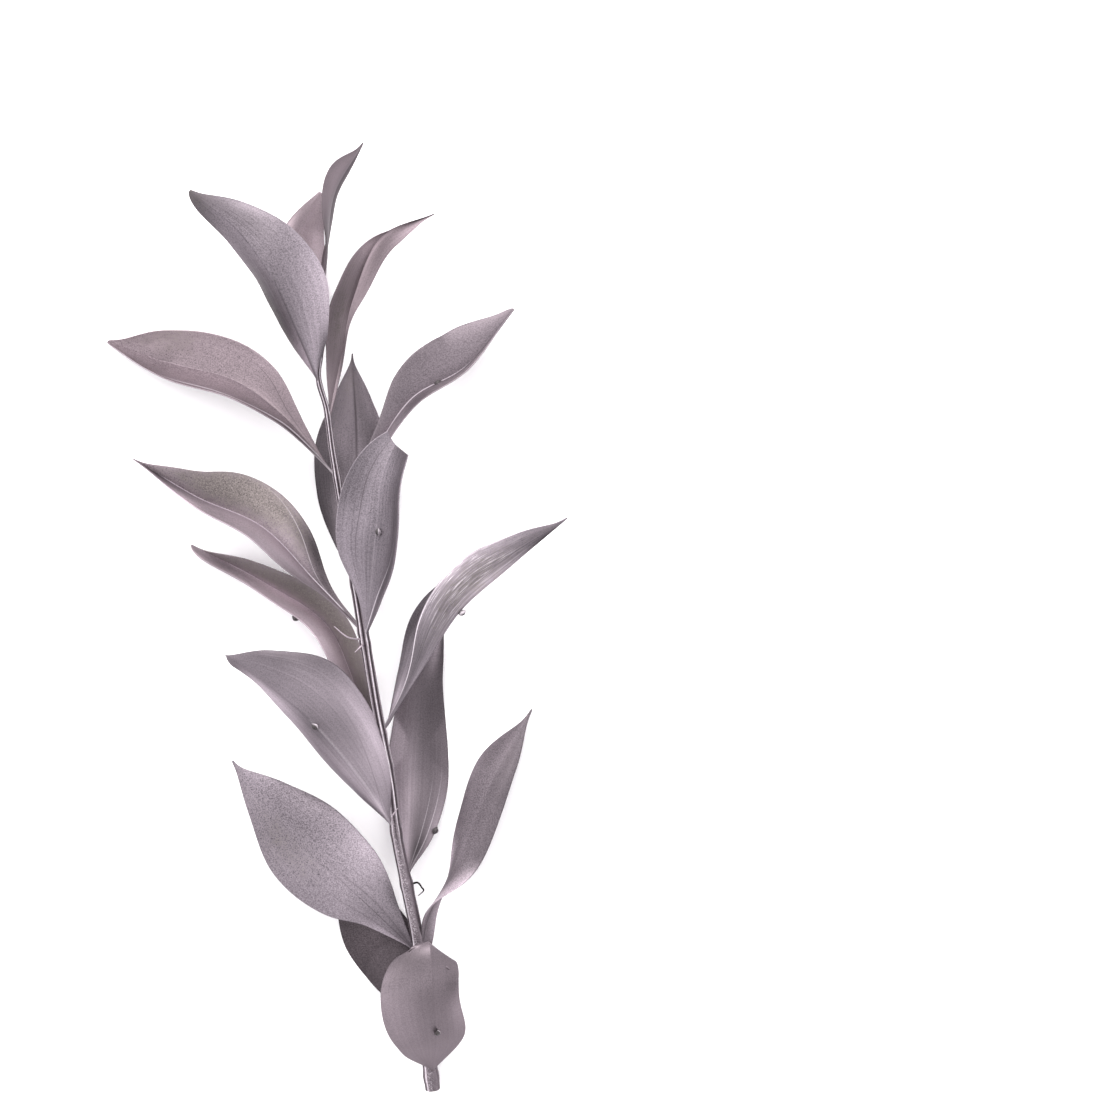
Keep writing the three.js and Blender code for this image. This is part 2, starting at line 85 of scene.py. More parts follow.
# Blades, from the growing end to the cut end. Angles are in degrees.
#   node   where on the stem's line the blade grows, as a Y value
#   rib    points of the midrib after the node, the last one the tip
#   left   half width of the left half at the six stations between foot and tip
#   right  half width of the right half, likewise
#   roll   turn about the midrib, left margin up, at even stations from foot to tip
#   fold   rise of both halves from the midrib, likewise: above 0 is a trough, below 0 a roof
#   curl   bend of the left and the right half, above 0 down towards the margin
#   end    share of the length where a snapped tip ends, at the left and at the right margin
#   side   direction that the blade's left half keeps, where the midrib turns over
#   bud    share of the length where the bud sits, 1 on the upper face or -1 on the under face, and
#          its place across where it isn't on the midrib, from 1 at the left margin to -1
BLADES = {
    "blade_01": dict(
        node=101.5,
        rib=[(-3.8, 121.5, 23), (-2.2, 140.5, 21), (0.5, 159.5, 20), (11, 178, 18)],
        left=[1, 4.5, 9.5, 10.5, 10.2, 1.8],
        right=[1, 4.5, 10, 11.5, 7.5, 2],
        roll=[90, 98, 82, 62],
        fold=[15, 8, 0],
        bud=(0.3, -1),
    ),
    "blade_02": dict(
        node=96,
        rib=[(-12.5, 115, 17), (-16, 131.5, 10), (-14, 147, 6), (-6, 161, 5)],
        left=[1, 4, 7.5, 7, 4, 1.5],
        right=[1, 7.5, 12.5, 13, 9.5, 3.5],
        roll=[20, 20, 5],
        fold=[10, 5, 0],
    ),
    "blade_03": dict(
        node=86.5,
        rib=[(-12.5, 106.5, 37), (-21.5, 126, 41), (-34.5, 143.5, 37), (-53, 159, 27)],
        left=[1, 12, 18.5, 16.5, 9, 4.6],
        right=[1, 11.5, 18.7, 16.6, 9.2, 2.3],
        roll=[-20, -25, -30, -12],
        fold=[-30, -32, -25, -5],
    ),
    "blade_04": dict(
        node=74.5,
        rib=[(3, 97.5, 22), (7, 119, 18), (17, 142.4, 15), (37.5, 152, 12)],
        left=[1, 6, 10.3, 8.2, 0, 0],
        right=[1, 1.3, 1.3, 5.7, 5.8, 1.2],
        roll=[20, 20, 26, 40],
        fold=[35, 35, 35, 20],
        curl=(20, 12),
    ),
    "blade_05": dict(
        node=52.5,
        rib=[(-19, 75.5, 17), (-38.5, 89.5, 8), (-63.5, 96.5, 0.3), (-87, 104.5, 2)],
        left=[1, 5.5, 15, 16, 11.3, 4],
        right=[0.3, 4, 12, 14.7, 11.2, 2.9],
        roll=[28, 28, 25],
        fold=[20, 20, 20],
        curl=(-30, -20),
    ),
    "blade_06": dict(
        node=12.5,
        rib=[(6.5, 34, 13), (6.5, 56, 8), (6.5, 78, 7), (6.5, 99.5, 10)],
        left=[1, 7, 13.5, 14.5, 7.3, 1.3],
        right=[1, 7, 13.5, 13, 6.7, 1],
        roll=[0, 0, 0],
        fold=[8, 6, 4],
    ),
    "blade_07": dict(
        node=38.5,
        rib=[(14.5, 60, 18), (29.1, 81.6, 15), (50, 94.3, 11), (67.5, 116.5, 6)],
        left=[1, 3, 5.5, 15.5, 15, 4.5],
        right=[1, 3.5, 9, 11, 8, 2.5],
        roll=[-25, -35, -50],
        fold=[52, 52, 52],
        bud=(0.62, 1),
    ),
    "blade_08": dict(
        node=-9.5,
        rib=[(14.5, 13, 30), (17, 33.5, 35), (19.5, 54, 34), (29, 75, 30)],
        left=[0.3, 4.3, 13.7, 14.8, 10, 2.5],
        right=[1, 7.8, 16.3, 16.2, 12.7, 4.6],
        roll=[-20, -25, -25],
        fold=[10, 14, 8],
        curl=(-28, -40),
        end=(0.91, 0.84),
        bud=(0.56, 1, -0.12),
    ),
    "blade_09": dict(
        node=-5,
        rib=[(-7, 14, 21), (-27, 34, 16), (-52.5, 45.5, 10), (-77, 60, 5)],
        left=[1, 3, 11, 9.5, 6, 1.9],
        right=[1, 3, 12, 15.3, 8, 1.4],
        roll=[26, 26, 24, 30],
        fold=[45, 45, 50, 60],
    ),
    "blade_10": dict(
        node=-55,
        rib=[(8.4, -26.8, 13), (-3.6, -2.6, 8), (-26.4, 12.7, 5), (-55, 27.5, 3)],
        left=[1, 5, 8, 7, 5, 4],
        right=[1, 5.5, 10.5, 11, 7, 0.8],
        roll=[0, 0, 0],
        fold=[55, 55, 50],
        bud=(0.6, -1, 0.95),
    ),
    "blade_11": dict(
        node=-80,
        rib=[(10.5, -59.5, 26), (-6, -39.5, 29), (-24, -24.5, 26), (-43.5, -12, 19)],
        left=[1, 10.3, 16.6, 14, 5.7, 4],
        right=[1, 11, 19.5, 22, 11.7, 0.8],
        roll=[-14, -20, -30, -35],
        fold=[-14, -14, 0],
        curl=(50, 50),
        end=(0.93, 0.985),
        bud=(0.52, 1),
    ),
    "blade_12": dict(
        node=-127.5,
        rib=[(16, -107, 17), (-3.5, -91, 15), (-22, -73, 11), (-39, -54, 7)],
        left=[1, 8, 16.8, 18, 9, 2.3],
        right=[1, 5.4, 15, 16.6, 9.6, 1.3],
        roll=[0, 0, 0],
        fold=[3, 2, 0],
    ),
    "blade_13": dict(
        node=-156,
        rib=[(27, -139.5, 4), (18.5, -124.5, 0), (9, -109.5, -0.8), (-0.5, -94, 2)],
        left=[1, 8, 12.6, 13.6, 8, 2],
        right=[1, 6, 11.5, 12, 7.5, 2],
        roll=[0, 0, 0],
        fold=[12, 5, 5],
        bud=(0.7, 1),
    ),
    "blade_14": dict(
        node=-174,
        rib=[(38.5, -156.5, 21), (37.3, -136, 32), (35.8, -120.3, 26), (30, -135, 8)],
        left=[1, 13, 19.6, 16, 4, 1],
        right=[1, 12.3, 11.6, 15.4, 11.5, 3],
        roll=[20, 25, 18, 10],
        fold=[0, -3, -27, -20],
        curl=(15, 15),
        side=(-1, 0, 0),
        bud=(0.285, 1),
    ),
    "blade_15": dict(
        node=-43,
        rib=[(33.6, -18.5, 28), (47.6, 3, 30), (67.3, 20.4, 22), (87.5, 37.5, 12)],
        left=[1, 8.3, 16.5, 12.5, 7, 1.5],
        right=[1, 2.7, 10.5, 14.2, 9, 2],
        roll=[-85, -85, -85, -70],
        fold=[65, 65, 65, 50],
        curl=(20, -50),
        bud=(0.5, -1),
    ),
    "blade_16": dict(
        node=-100,
        rib=[(30, -74.5, 6), (31, -50.5, 0.3), (33, -23.5, 5), (42, 2, 11)],
        left=[1, 8, 12, 10, 5, 1],
        right=[1, 8, 12, 10, 6.2, 1],
        roll=[0, 0, 0],
        fold=[4, 3, 0],
        bud=(0.2, 1, -0.95),
    ),
    "blade_17": dict(
        node=-138.5,
        rib=[(34.8, -113.5, 13), (47.2, -90.5, 13), (59.5, -61.5, 9), (74, -35, 0.3)],
        left=[1, 4, 4.5, 9.8, 11.2, 1.8],
        right=[1, 1.5, 8, 9.4, 6.3, 1.3],
        roll=[-150, -148, -98, -48, -35, -30, -30],
        fold=[3, 2, 0],
    ),
}

# Each blade's coat, with painted light and shade. A pair is for the left and the right half.
#   pink     warmth of the coat, 0 to 1
#   shade    brightness of the coat with painted light and shade, one number or a pair
#   grit     strength of its grain, one number or a pair
#   strands  strength of the streaks along the blade
#   rims     pair: line along the margin, light and partly painted highlight (below 0, dark and partly painted shade)
#   rib      line along the midrib, likewise, and the shares between which it shows
#   thin     places where the coat is thin and olive leaf shows through: share of the length, place
#            from 1 at the left margin to -1 at the right, reach along, reach across, strength
#   tones    patches of painted light, shade and highlight, likewise, with the gain in brightness
#   split    whether each of these places stops at the midrib
#   lines    creases, partly painted highlight and shade: places across and strengths at even shares
#            of the length, and half width
LOOKS = {
    "blade_01": dict(
        pink=0.5,
        shade=(0.74, 0.52),
        grit=0.4,
        strands=0.5,
        rims=(-0.1, -0.5),
        rib=(0.1, 0, 1),
        tones=[
            (0.72, -0.5, 0.2, 0.5, -0.6),
            (0.85, 0.4, 0.15, 0.5, 0.3),
            (0.5, 0.8, 0.1, 0.5, -0.6),
        ],
    ),
    "blade_02": dict(
        pink=0.65,
        shade=1.42,
        grit=0.6,
        strands=0.4,
        rims=(0, -0.3),
        rib=(0, 0, 1),
        tones=[(0.85, 0.9, 0.2, 0.6, -0.55), (0.82, -0.45, 0.25, 0.3, 0.7)],
    ),
    "blade_03": dict(
        pink=0.1,
        shade=1.06,
        grit=1.5,
        strands=1.5,
        rims=(-0.25, 0.1),
        rib=(-0.5, 0.04, 0.42),
        thin=[(1.0, 0.0, 0.12, 2.0, 0.6), (0.35, 1.0, 0.25, 0.5, 1.0)],
        tones=[
            (0.96, 0.0, 0.12, 2.0, -0.42),
            (0.9, 0.9, 0.08, 0.4, -0.3),
            (0.74, -0.45, 0.22, 0.55, -0.63),
            (0.2, -0.6, 0.2, 0.8, 0.6),
            (0.3, 1.0, 0.35, 0.9, -0.7),
            (0.5, 0.3, 0.4, 0.3, -0.2),
            (0.35, -0.02, 0.35, 0.2, -0.35),
            (0.38, -0.9, 0.18, 0.35, 0.8),
            (0.1, 0.7, 0.1, 1.0, 2.8),
            (0.1, -0.2, 0.1, 0.5, 0.4),
            (0.12, -1.0, 0.08, 0.4, -0.7),
        ],
        split=True,
    ),
    "blade_04": dict(
        pink=0.7,
        shade=(1.02, 0.9),
        grit=0.6,
        strands=1.9,
        rims=(-0.35, -0.1),
        rib=(0, 0, 1),
        thin=[(0.4, 0.5, 0.2, 0.5, 0.5)],
        tones=[
            (0.35, 0.6, 0.35, 0.7, -0.3),
            (0.5, 0.8, 0.1, 0.3, -0.2),
            (0.72, 0.3, 0.08, 0.9, 0.9),
            (0.72, -0.02, 0.08, 0.15, 0.4),
            (0.25, -0.7, 0.14, 0.7, -0.5),
            (0.12, 0.0, 0.06, 2.0, 0.25),
            (0.93, 0.0, 0.1, 0.35, -0.85),
            (0.93, 0.8, 0.1, 0.7, -0.82),
            (0.72, -0.45, 0.12, 0.3, -0.42),
            (0.92, -0.7, 0.1, 0.5, 2.2),
        ],
        split=True,
    ),
    "blade_05": dict(
        pink=0.7,
        shade=(0.84, 0.82),
        grit=1.5,
        strands=0.4,
        rims=(0.2, -0.15),
        rib=(0, 0, 1),
        thin=[(0.78, -0.7, 0.16, 0.6, 0.5)],
        lines=[
            ((-0.3, -0.33, -0.66, -0.7, -0.7, -0.7), (0, -0.6, -0.6, 0, 0, 0), 0.22),
            ((0.3, 0.45, 0.8, 0.8, 0.9, 1.0), (0, 0.9, 1.0, 0.8, 0, 0), 0.7),
        ],
        tones=[
            (0.5, 0.6, 0.45, 0.5, 0.3),
            (0.42, 0.01, 0.35, 0.35, 0.5),
            (0.38, 0.0, 0.3, 0.1, -0.2),
            (0.22, -0.05, 0.16, 0.4, -0.32),
            (0.5, -0.3, 0.3, 0.4, -0.08),
            (0.75, -0.8, 0.25, 0.6, 0.6),
            (0.38, -0.9, 0.12, 0.3, 0.25),
            (0.06, 0.0, 0.1, 2.0, -0.45),
            (0.12, 0.7, 0.12, 0.6, -0.6),
            (0.92, 0.0, 0.1, 1.0, 0.2),
        ],
        split=True,
    ),
    "blade_06": dict(
        pink=0.25,
        shade=0.88,
        grit=0.9,
        strands=1.4,
        rims=(-0.2, -0.2),
        rib=(0, 0, 1),
        thin=[(0.95, 0.2, 0.25, 0.8, 0.5)],
        tones=[
            (0.35, 1.0, 0.45, 0.75, -0.76),
            (0.9, 0.5, 0.1, 0.6, 0.75),
            (0.62, 0.35, 0.14, 0.2, 0.25),
            (0.5, 0.4, 0.08, 0.3, -0.4),
            (0.78, 0.1, 0.15, 0.25, 0.25),
            (0.68, -0.45, 0.16, 0.3, -0.3),
            (0.75, -0.9, 0.1, 0.3, 0.4),
        ],
        lines=[((-0.1, -0.1, -0.1, -0.1, -0.1, 0.0), (0, 0, 0.0, -0.7, -0.7, 0), 0.7)],
    ),
    "blade_07": dict(
        pink=0.3,
        shade=0.8,
        grit=1.1,
        strands=0.6,
        rims=(-0.25, 0.1),
        rib=(0, 0, 1),
        thin=[(0.75, -0.9, 0.3, 0.4, 0.4)],
        tones=[
            (0.3, -0.4, 0.3, 0.9, 0.75),
            (0.5, 0.9, 0.5, 0.4, -0.25),
            (0.48, 0.4, 0.08, 0.4, -0.2),
            (0.5, -0.8, 0.08, 0.4, -0.4),
            (0.8, -0.9, 0.12, 0.3, 0.7),
        ],
        lines=[((0.1, 0.08, 0.06, 0.05, 0.05, 0.05), (1.4, 2.8, 3.0, 2.0, 0, 0), 0.25)],
    ),
    "blade_08": dict(
        pink=0.05,
        shade=0.98,
        grit=1.3,
        strands=2.15,
        rims=(0.08, -0.2),
        rib=(0.06, 0.02, 0.5),
        tones=[
            (0.9, -0.2, 0.12, 0.5, -0.42),
            (0.3, 0.8, 0.25, 0.5, 0.65),
            (0.12, 0.4, 0.1, 0.8, 0.4),
            (0.45, -0.75, 0.4, 0.35, -0.4),
            (0.5, -1.0, 0.35, 0.12, 0.8),
            (0.52, 0.0, 0.14, 0.14, -0.2),
            (0.7, 0.8, 0.15, 0.5, -0.4),
        ],
        lines=[
            ((-0.3, -0.5, -0.7, -0.8, -0.9, -1), (0.5, 0.8, 0.2, 0, 0, 0), 0.4),
            ((0.5, 0.5, 0.5, 0.45, 0.4, 0.3), (0, 0, -0.3, -0.6, -0.5, 0), 0.3),
        ],
    ),
    "blade_09": dict(
        pink=0.45,
        shade=(1.32, 1.08),
        grit=(0.7, 1.9),
        strands=1.0,
        rims=(0.05, -0.2),
        rib=(1.6, 0.12, 0.85),
        thin=[(0.6, -0.6, 0.3, 0.6, 1.0)],
        tones=[
            (0.12, 0.0, 0.14, 2.0, -0.3),
            (0.47, 0.35, 0.25, 0.35, 0.42),
            (0.28, 0.95, 0.12, 0.35, -0.4),
            (0.77, 0.95, 0.07, 0.35, 0.9),
            (0.5, -0.7, 0.15, 0.45, 0.6),
            (0.42, -0.3, 0.12, 0.25, 0.5),
            (0.32, -0.85, 0.11, 0.4, -0.78),
            (0.22, -0.5, 0.07, 0.4, -0.4),
            (0.55, 0.0, 0.14, 0.12, 0.3),
            (0.93, 0.2, 0.12, 0.8, -0.7),
        ],
        lines=[((-0.1, -0.2, -0.7, -1.0, -1.0, -1.0), (0, 0.2, 0.35, 0, 0, 0), 0.25)],
        split=True,
    ),
    "blade_10": dict(
        pink=0.55,
        shade=(1.55, 1.27),
        grit=(0.5, 1.4),
        strands=0.5,
        rims=(0.05, -0.2),
        rib=(0.9, 0.3, 0.85),
        thin=[(0.5, -0.6, 0.5, 0.6, 0.9)],
        tones=[
            (0.66, 0.4, 0.18, 0.5, 1.2),
            (0.7, 0.02, 0.16, 0.22, 0.4),
            (0.42, 0.6, 0.1, 0.5, 0.35),
            (0.9, 0.7, 0.14, 0.6, -0.5),
            (0.64, -0.02, 0.2, 0.3, 0.45),
            (0.5, -0.8, 0.1, 0.6, 0.3),
            (0.88, -0.5, 0.1, 0.6, -0.1),
        ],
        split=True,
    ),
    "blade_11": dict(
        pink=0.15,
        shade=(1.12, 1.03),
        grit=0.7,
        strands=1.5,
        rims=(-0.25, -0.25),
        rib=(0.25, 0.02, 0.5),
        tones=[
            (0.33, -0.9, 0.22, 0.6, 1.15),
            (0.6, -0.9, 0.12, 0.35, -0.3),
            (0.18, 0.1, 0.14, 0.5, 0.6),
            (0.3, 0.6, 0.2, 0.35, 0.6),
            (0.71, 0.5, 0.16, 0.4, 1.0),
            (0.42, -0.4, 0.12, 0.25, -0.4),
            (0.5, 0.1, 0.1, 0.3, -0.4),
            (0.75, 0.0, 0.1, 0.25, -0.2),
            (0.78, -0.85, 0.18, 0.5, -0.6),
            (0.91, 0.5, 0.06, 0.6, -0.5),
            (0.12, 0.95, 0.07, 0.4, -0.8),
            (0.11, 0.0, 0.05, 0.2, 0.8),
        ],
        lines=[((0.1, -0.3, -0.5, -0.6, -0.6, -0.6), (0, -0.3, -0.25, 0, 0, 0), 0.3)],
    ),
    "blade_12": dict(
        pink=0.1,
        shade=1.04,
        grit=1.9,
        strands=0.7,
        rims=(-0.35, -0.3),
        rib=(-0.3, 0.05, 0.4),
        thin=[(0.66, 0.4, 0.2, 0.5, 0.4)],
        tones=[
            (0.4, 0.8, 0.25, 0.5, 0.25),
            (0.1, 1.0, 0.12, 0.4, 1.4),
            (0.42, -0.3, 0.14, 0.9, 0.24),
            (0.38, -0.95, 0.15, 0.3, 0.3),
            (0.7, -0.5, 0.18, 0.7, -0.32),
            (0.23, -0.95, 0.07, 0.4, -0.5),
            (0.26, 0.5, 0.07, 0.4, -0.15),
            (0.9, 0.0, 0.08, 1.0, 0.15),
        ],
        lines=[
            ((0.3, 0.28, 0.12, 0.05, 0, 0), (-0.3, -0.6, -0.4, 0, 0, 0), 0.25),
            ((0.6, 0.6, 0.5, 0.5, 0, 0), (-0.2, -0.4, -0.3, 0, 0, 0), 0.25),
        ],
    ),
    "blade_13": dict(
        pink=0.5,
        shade=0.37,
        grit=1.5,
        strands=0.6,
        rims=(0, -0.2),
        rib=(0, 0, 1),
        tones=[(0.6, 0.1, 0.14, 0.6, 0.5), (0.38, 0.9, 0.08, 0.5, -0.3)],
    ),
    "blade_14": dict(
        pink=0.4,
        shade=0.98,
        grit=0.7,
        strands=0.6,
        rims=(-0.1, -0.25),
        rib=(0, 0, 1),
        tones=[
            (0.64, 0.5, 0.09, 0.9, -0.58),
            (0.66, -0.4, 0.1, 1.2, -0.32),
            (0.54, 0.8, 0.08, 0.6, -0.3),
            (0.36, 0.8, 0.12, 0.5, 0.7),
            (0.48, -0.8, 0.1, 0.4, -0.44),
            (0.36, -0.9, 0.1, 0.35, 0.5),
            (0.77, 0.0, 0.06, 0.35, 0.8),
            (0.95, 0.1, 0.12, 0.7, -0.22),
            (0.9, -0.1, 0.12, 0.5, 0.3),
        ],
        split=True,
    ),
    "blade_15": dict(
        pink=0.1,
        shade=1.05,
        grit=0.9,
        strands=3.0,
        rims=(-0.2, 0.25),
        rib=(0, 0, 1),
        thin=[(0.85, 0.2, 0.2, 0.8, 0.3), (0.6, -0.4, 0.3, 0.6, 0.6)],
        tones=[
            (0.3, 1.0, 0.4, 0.9, -0.42),
            (0.6, -0.95, 0.2, 0.3, 0.32),
            (0.62, 0.0, 0.16, 0.3, 1.3),
            (0.5, 0.0, 0.06, 0.3, -0.25),
            (0.25, -0.15, 0.14, 0.2, 0.45),
            (0.27, -0.7, 0.14, 0.4, -0.36),
            (0.12, -0.1, 0.05, 0.3, -0.25),
            (0.9, 0.05, 0.09, 0.35, -0.85),
            (0.12, 0.5, 0.06, 0.4, 1.2),
        ],
        lines=[((-0.95, -0.96, -0.96, -0.96, -0.95, -0.95), (0, 0.85, 0.9, 0.3, 0, 0), 0.28)],
    ),
    "blade_16": dict(
        pink=0.3,
        shade=0.74,
        grit=0.7,
        strands=0.8,
        rims=(-0.15, -0.3),
        rib=(0, 0, 1),
        tones=[
            (0.3, 1.0, 0.34, 0.8, 2.3),
            (0.08, 0.95, 0.1, 0.5, 1.3),
            (0.12, -0.4, 0.08, 0.5, -0.72),
            (0.22, -0.05, 0.1, 0.25, -0.25),
            (0.4, -0.25, 0.3, 0.5, -0.35),
            (0.2, -0.95, 0.1, 0.3, 0.9),
            (0.7, -0.8, 0.2, 0.4, -0.2),
            (0.76, -0.2, 0.08, 0.5, -0.15),
            (0.88, -0.3, 0.1, 0.35, 1.6),
            (0.88, -0.95, 0.1, 0.4, -0.4),
        ],
        lines=[
            ((-0.6, -0.68, -0.76, -0.8, -1, -1), (0, 0.3, 0.05, 0, 0, 0), 0.3),
            ((-0.25, -0.38, -0.5, -0.6, -1, -1), (0, 0.2, 0.02, 0, 0, 0), 0.25),
        ],
    ),
    "blade_17": dict(
        pink=0.25,
        shade=(0.82, 0.68),
        grit=1.3,
        strands=0.5,
        rims=(-0.3, -0.3),
        rib=(0, 0, 1),
        tones=[
            (0.36, -0.85, 0.09, 0.5, 3.8),
            (0.52, -0.85, 0.06, 0.4, -0.35),
            (0.48, 0.95, 0.07, 0.35, 2.4),
            (0.26, 0.9, 0.1, 0.5, 1.3),
            (0.5, 0.0, 0.08, 0.3, 0.3),
            (0.85, -0.4, 0.15, 0.4, -0.5),
            (0.72, -0.8, 0.14, 0.3, -0.4),
            (0.75, 0.9, 0.08, 0.4, 0.3),
        ],
    ),
}

# Blade form: the thickness of the leaf itself, how far in from its margin it is rounded, and its
# half width where it leaves the stem and at its tip.
LEAF_THICK = 0.42
MARGIN_ROUND = 0.3
FOOT_HALF_WIDTH = 0.8
TIP_HALF_WIDTH = 0.16
# How much thicker than the leaf the foot is at the stem, as a share of the leaf's thickness, and
# the share of the length that it fades over.
FOOT_GAIN = 1.0
FOOT_SHARE = 0.07
# The curl of a blade that names none.
BLADE_CURL = (25, 25)
# A blade's rows from foot to tip, and its columns in each half: those at the margin, how many
# even ones follow between two places, and those at the midrib.
BLADE_ROWS = 150
MARGIN_COLUMNS = (1, 0.992, 0.976)
EVEN_COLUMNS = (0.95, 0.07, 19)
MIDRIB_COLUMNS = (0.045, 0.02)
# Midrib: height of the ridge on the upper and the under face, and its half width.
RIB_RISE = (0.04, 0.2)
RIB_SPREAD = 0.42
# The ridge starts over the first share of the length, and is down to a fifth past the last one.
RIDGE_START = 0.05
RIDGE_FADE = (0.3, 0.85)
RIDGE_FADE_BY = 0.8
# Shares of the length over which the line along the midrib comes and goes.
RIB_LINE_START = 0.03
RIB_LINE_END = 0.05
# Step between the numbers that keep the blades' streaks apart.
OWN_STEP = 7.3
# Waves that drying left in a blade: how many are added up, their height, and between which numbers
# each one's waves along, its waves across and its start are drawn.
CRUMPLES = 6
CRUMPLE_RISE = 0.3
CRUMPLE_DRAW = ((0.8, -0.6, 0), (4.5, 0.6, 1))
# A bud: where it sits on a blade that names no place, its radius, its length, how far out of the
# leaf its middle is as a share of its radius, how far its point lifts off the leaf, and how far
# its two ends reach past its first and its last ring.
BLADE_BUD = (0.48, -1, 0)
BUD_RADIUS = 1.1
BUD_LENGTH = 3.0
BUD_LIFT = 0.85
BUD_BEND = 0.5
BUD_ENDS = (0.15, 0.25)
# Its rings, between two shares of its length, and its sides.
BUD_RINGS = (0.04, 0.96, 15)
BUD_SIDES = 20
# Its wrinkles, their height as a share of its radius, by what share the radius is drawn in at its
# point, and where round it the pale scale begins and is full, as a cosine.
BUD_WRINKLES = 5
BUD_WRINKLE_SHARE = 0.12
BUD_POINT = 0.35
BUD_SCALE_EDGE = (0.6, 0.95)

# Stem form: its rows and sides, its ribs, and their height and that of the fine ribs between them
# as a share of the radius.
STEM_ROWS = 620
STEM_SIDES = 84
STEM_RIBS = 6
RIB_SHARE = 0.13
FINE_RIB_SHARE = 0.02
# The ribs turn to and fro in waves along the stem: the height, the length and the start of each.
TWISTS = ((0.25, 31.0, 0.0), (0.15, 13.0, 1.3))
# The share of their height that the ribs have low down, and the Y values between which they come
# up to all of it.
FAINT_RIBS = 0.3
RIBS_COME = (-95, -70)
# The swelling at each node, as a share of the radius, and its reach along the stem.
NODE_SWELL = 0.12
NODE_SPREAD = 2.2
# The cut end: how far the pith has sunk, and the rings of its face from the middle out, as a share
# of the radius and a depth.
PITH_SINK = 0.5
CUT_RINGS = ((0.15, PITH_SINK), (0.42, PITH_SINK), (0.48, 0.1), (0.93, 0))
# A bract's radius at its root and at its tip, how flat it is, and its rows and sides.
BRACT_RADIUS = (0.42, 0.16)
BRACT_FLAT = 0.5
BRACT_ROWS = 40
BRACT_SIDES = 10
# How far the points of the stem and of a bract reach past their last ring.
STEM_POINT = 0.2
BRACT_POINT = 0.3
# What the finish reads as the place on a bract, and the warmth of the coat on stem and bracts.
BRACT_MARK = (0.5, 0.5, 0.7)
STEM_PINK = 0.3


# Lines and directions.


def through(stations, t):
    """A smooth line through even stations, at the shares t of its length.

    Between two stations it is the cubic whose slope at each is half the step between its two
    neighbours, and the line's ends are carried on straight.
    """
    stations = np.asarray(stations, float)
    before = 2 * stations[:1] - stations[1:2]
    after = 2 * stations[-1:] - stations[-2:-1]
    line = np.concatenate([before, stations, after])
    steps = len(stations) - 1
    t = np.asarray(t, float)
    i = np.minimum((t * steps).astype(int), steps - 1)
    w = t * steps - i
    if stations.ndim == 2:
        w = w[..., None]
    a, b, c, d = line[i], line[i + 1], line[i + 2], line[i + 3]
    return b + w / 2 * (c - a + w * (2 * a - 5 * b + 4 * c - d + w * (3 * (b - c) + d - a)))


def unit(v):
    """Vectors of length 1 in the directions v."""
    return v / np.maximum(np.linalg.norm(v, axis=-1, keepdims=True), 1e-12)


def heading_of(points, t):
    """Direction of a line of points at the shares t."""
    step = 1e-3
    return unit(through(points, np.minimum(t + step, 1)) - through(points, np.maximum(t - step, 0)))


def sideways(heading):
    """Two directions square to each heading: level and to its left, and up from both."""
    left = unit(np.cross((0.0, 0.0, 1.0), heading))
    return left, np.cross(heading, left)


# The stem.


def stem_share(y):
    """Share of the way along the stem's line where it reaches the Y values y."""
    share = np.linspace(0, 1, 4000)
    return np.interp(y, through(STEM_LINE, share)[:, 1], share)


def stem_radius(share):
    """The stem's taper, swollen at each node by a bell curve along Y."""
    y = through(STEM_LINE, share)[..., 1]
    nodes = np.array([blade["node"] for blade in BLADES.values()])
    swelling = np.exp(-(((y[..., None] - nodes) / NODE_SPREAD) ** 2)).max(-1)
    return through(STEM_RADIUS, share) * (1 + NODE_SWELL * swelling)


def ribbed(y):
    """How far the ribs have come up at the Y values y, 0 low down and 1 above."""
    low, high = RIBS_COME
    return np.clip((y - low) / (high - low), 0, 1)


def stem_surface(share, turn):
    """Points of the stem's skin for shares along it and turns round it, and how high on a rib.

    The radius is the taper times ribs: a cosine of the turn, drawn to broad crests, that twists
    slowly along the stem and is fainter low down, with a finer cosine between.
    """
    heading = heading_of(STEM_LINE, share)
    left, up = sideways(heading)
    angle = 2 * np.pi * turn[None, :]
    along = through(STEM_LINE, share)[:, 1][:, None]
    drift = sum(most * np.sin(along / length + start) for most, length, start in TWISTS)
    crest = 0.5 + 0.5 * np.cos(STEM_RIBS * (angle + drift))
    fine = 0.5 + 0.5 * np.cos(3 * STEM_RIBS * angle + 5 * drift + 0.7)
    relief = RIB_SHARE * (2 * crest**0.7 - 1) + FINE_RIB_SHARE * fine
    relief = relief * (FAINT_RIBS + (1 - FAINT_RIBS) * ribbed(along))
    radius = stem_radius(share)[:, None] * (1 + relief)
    centre = through(STEM_LINE, share)[:, None, :]
    points = centre - left[:, None, :] * (radius * np.cos(angle))[..., None]
    points = points + up[:, None, :] * (radius * np.sin(angle))[..., None]
    points[..., 2] = np.maximum(points[..., 2], 0)
    return points, crest


# Blades.


def half_width(widths, t):
    """Half width of a blade's half at the shares t of its length.

    The stations are even steps of a half turn whose height is the share, so they lie closer
    together near the foot and near the tip.
    """
    turn = np.arccos(1 - 2 * np.clip(t, 0, 1)) / np.pi
    width = through([FOOT_HALF_WIDTH, *widths, TIP_HALF_WIDTH], turn)
    return np.maximum(width, TIP_HALF_WIDTH)


def crumple(seed, t, s):
    """Height of the waves that drying left: a sum of drawn sines of t and s, most at the margin."""
    draw = np.random.default_rng(seed)
    height = np.zeros(np.broadcast(t, s).shape)
    for _ in range(CRUMPLES):
        along, across, start = draw.uniform(*CRUMPLE_DRAW)
        height += np.sin(2 * np.pi * (along * t + across * s + start)) / along
    return CRUMPLE_RISE * height * np.sin(np.pi * t) * (0.2 + 0.8 * np.abs(s) ** 1.5)


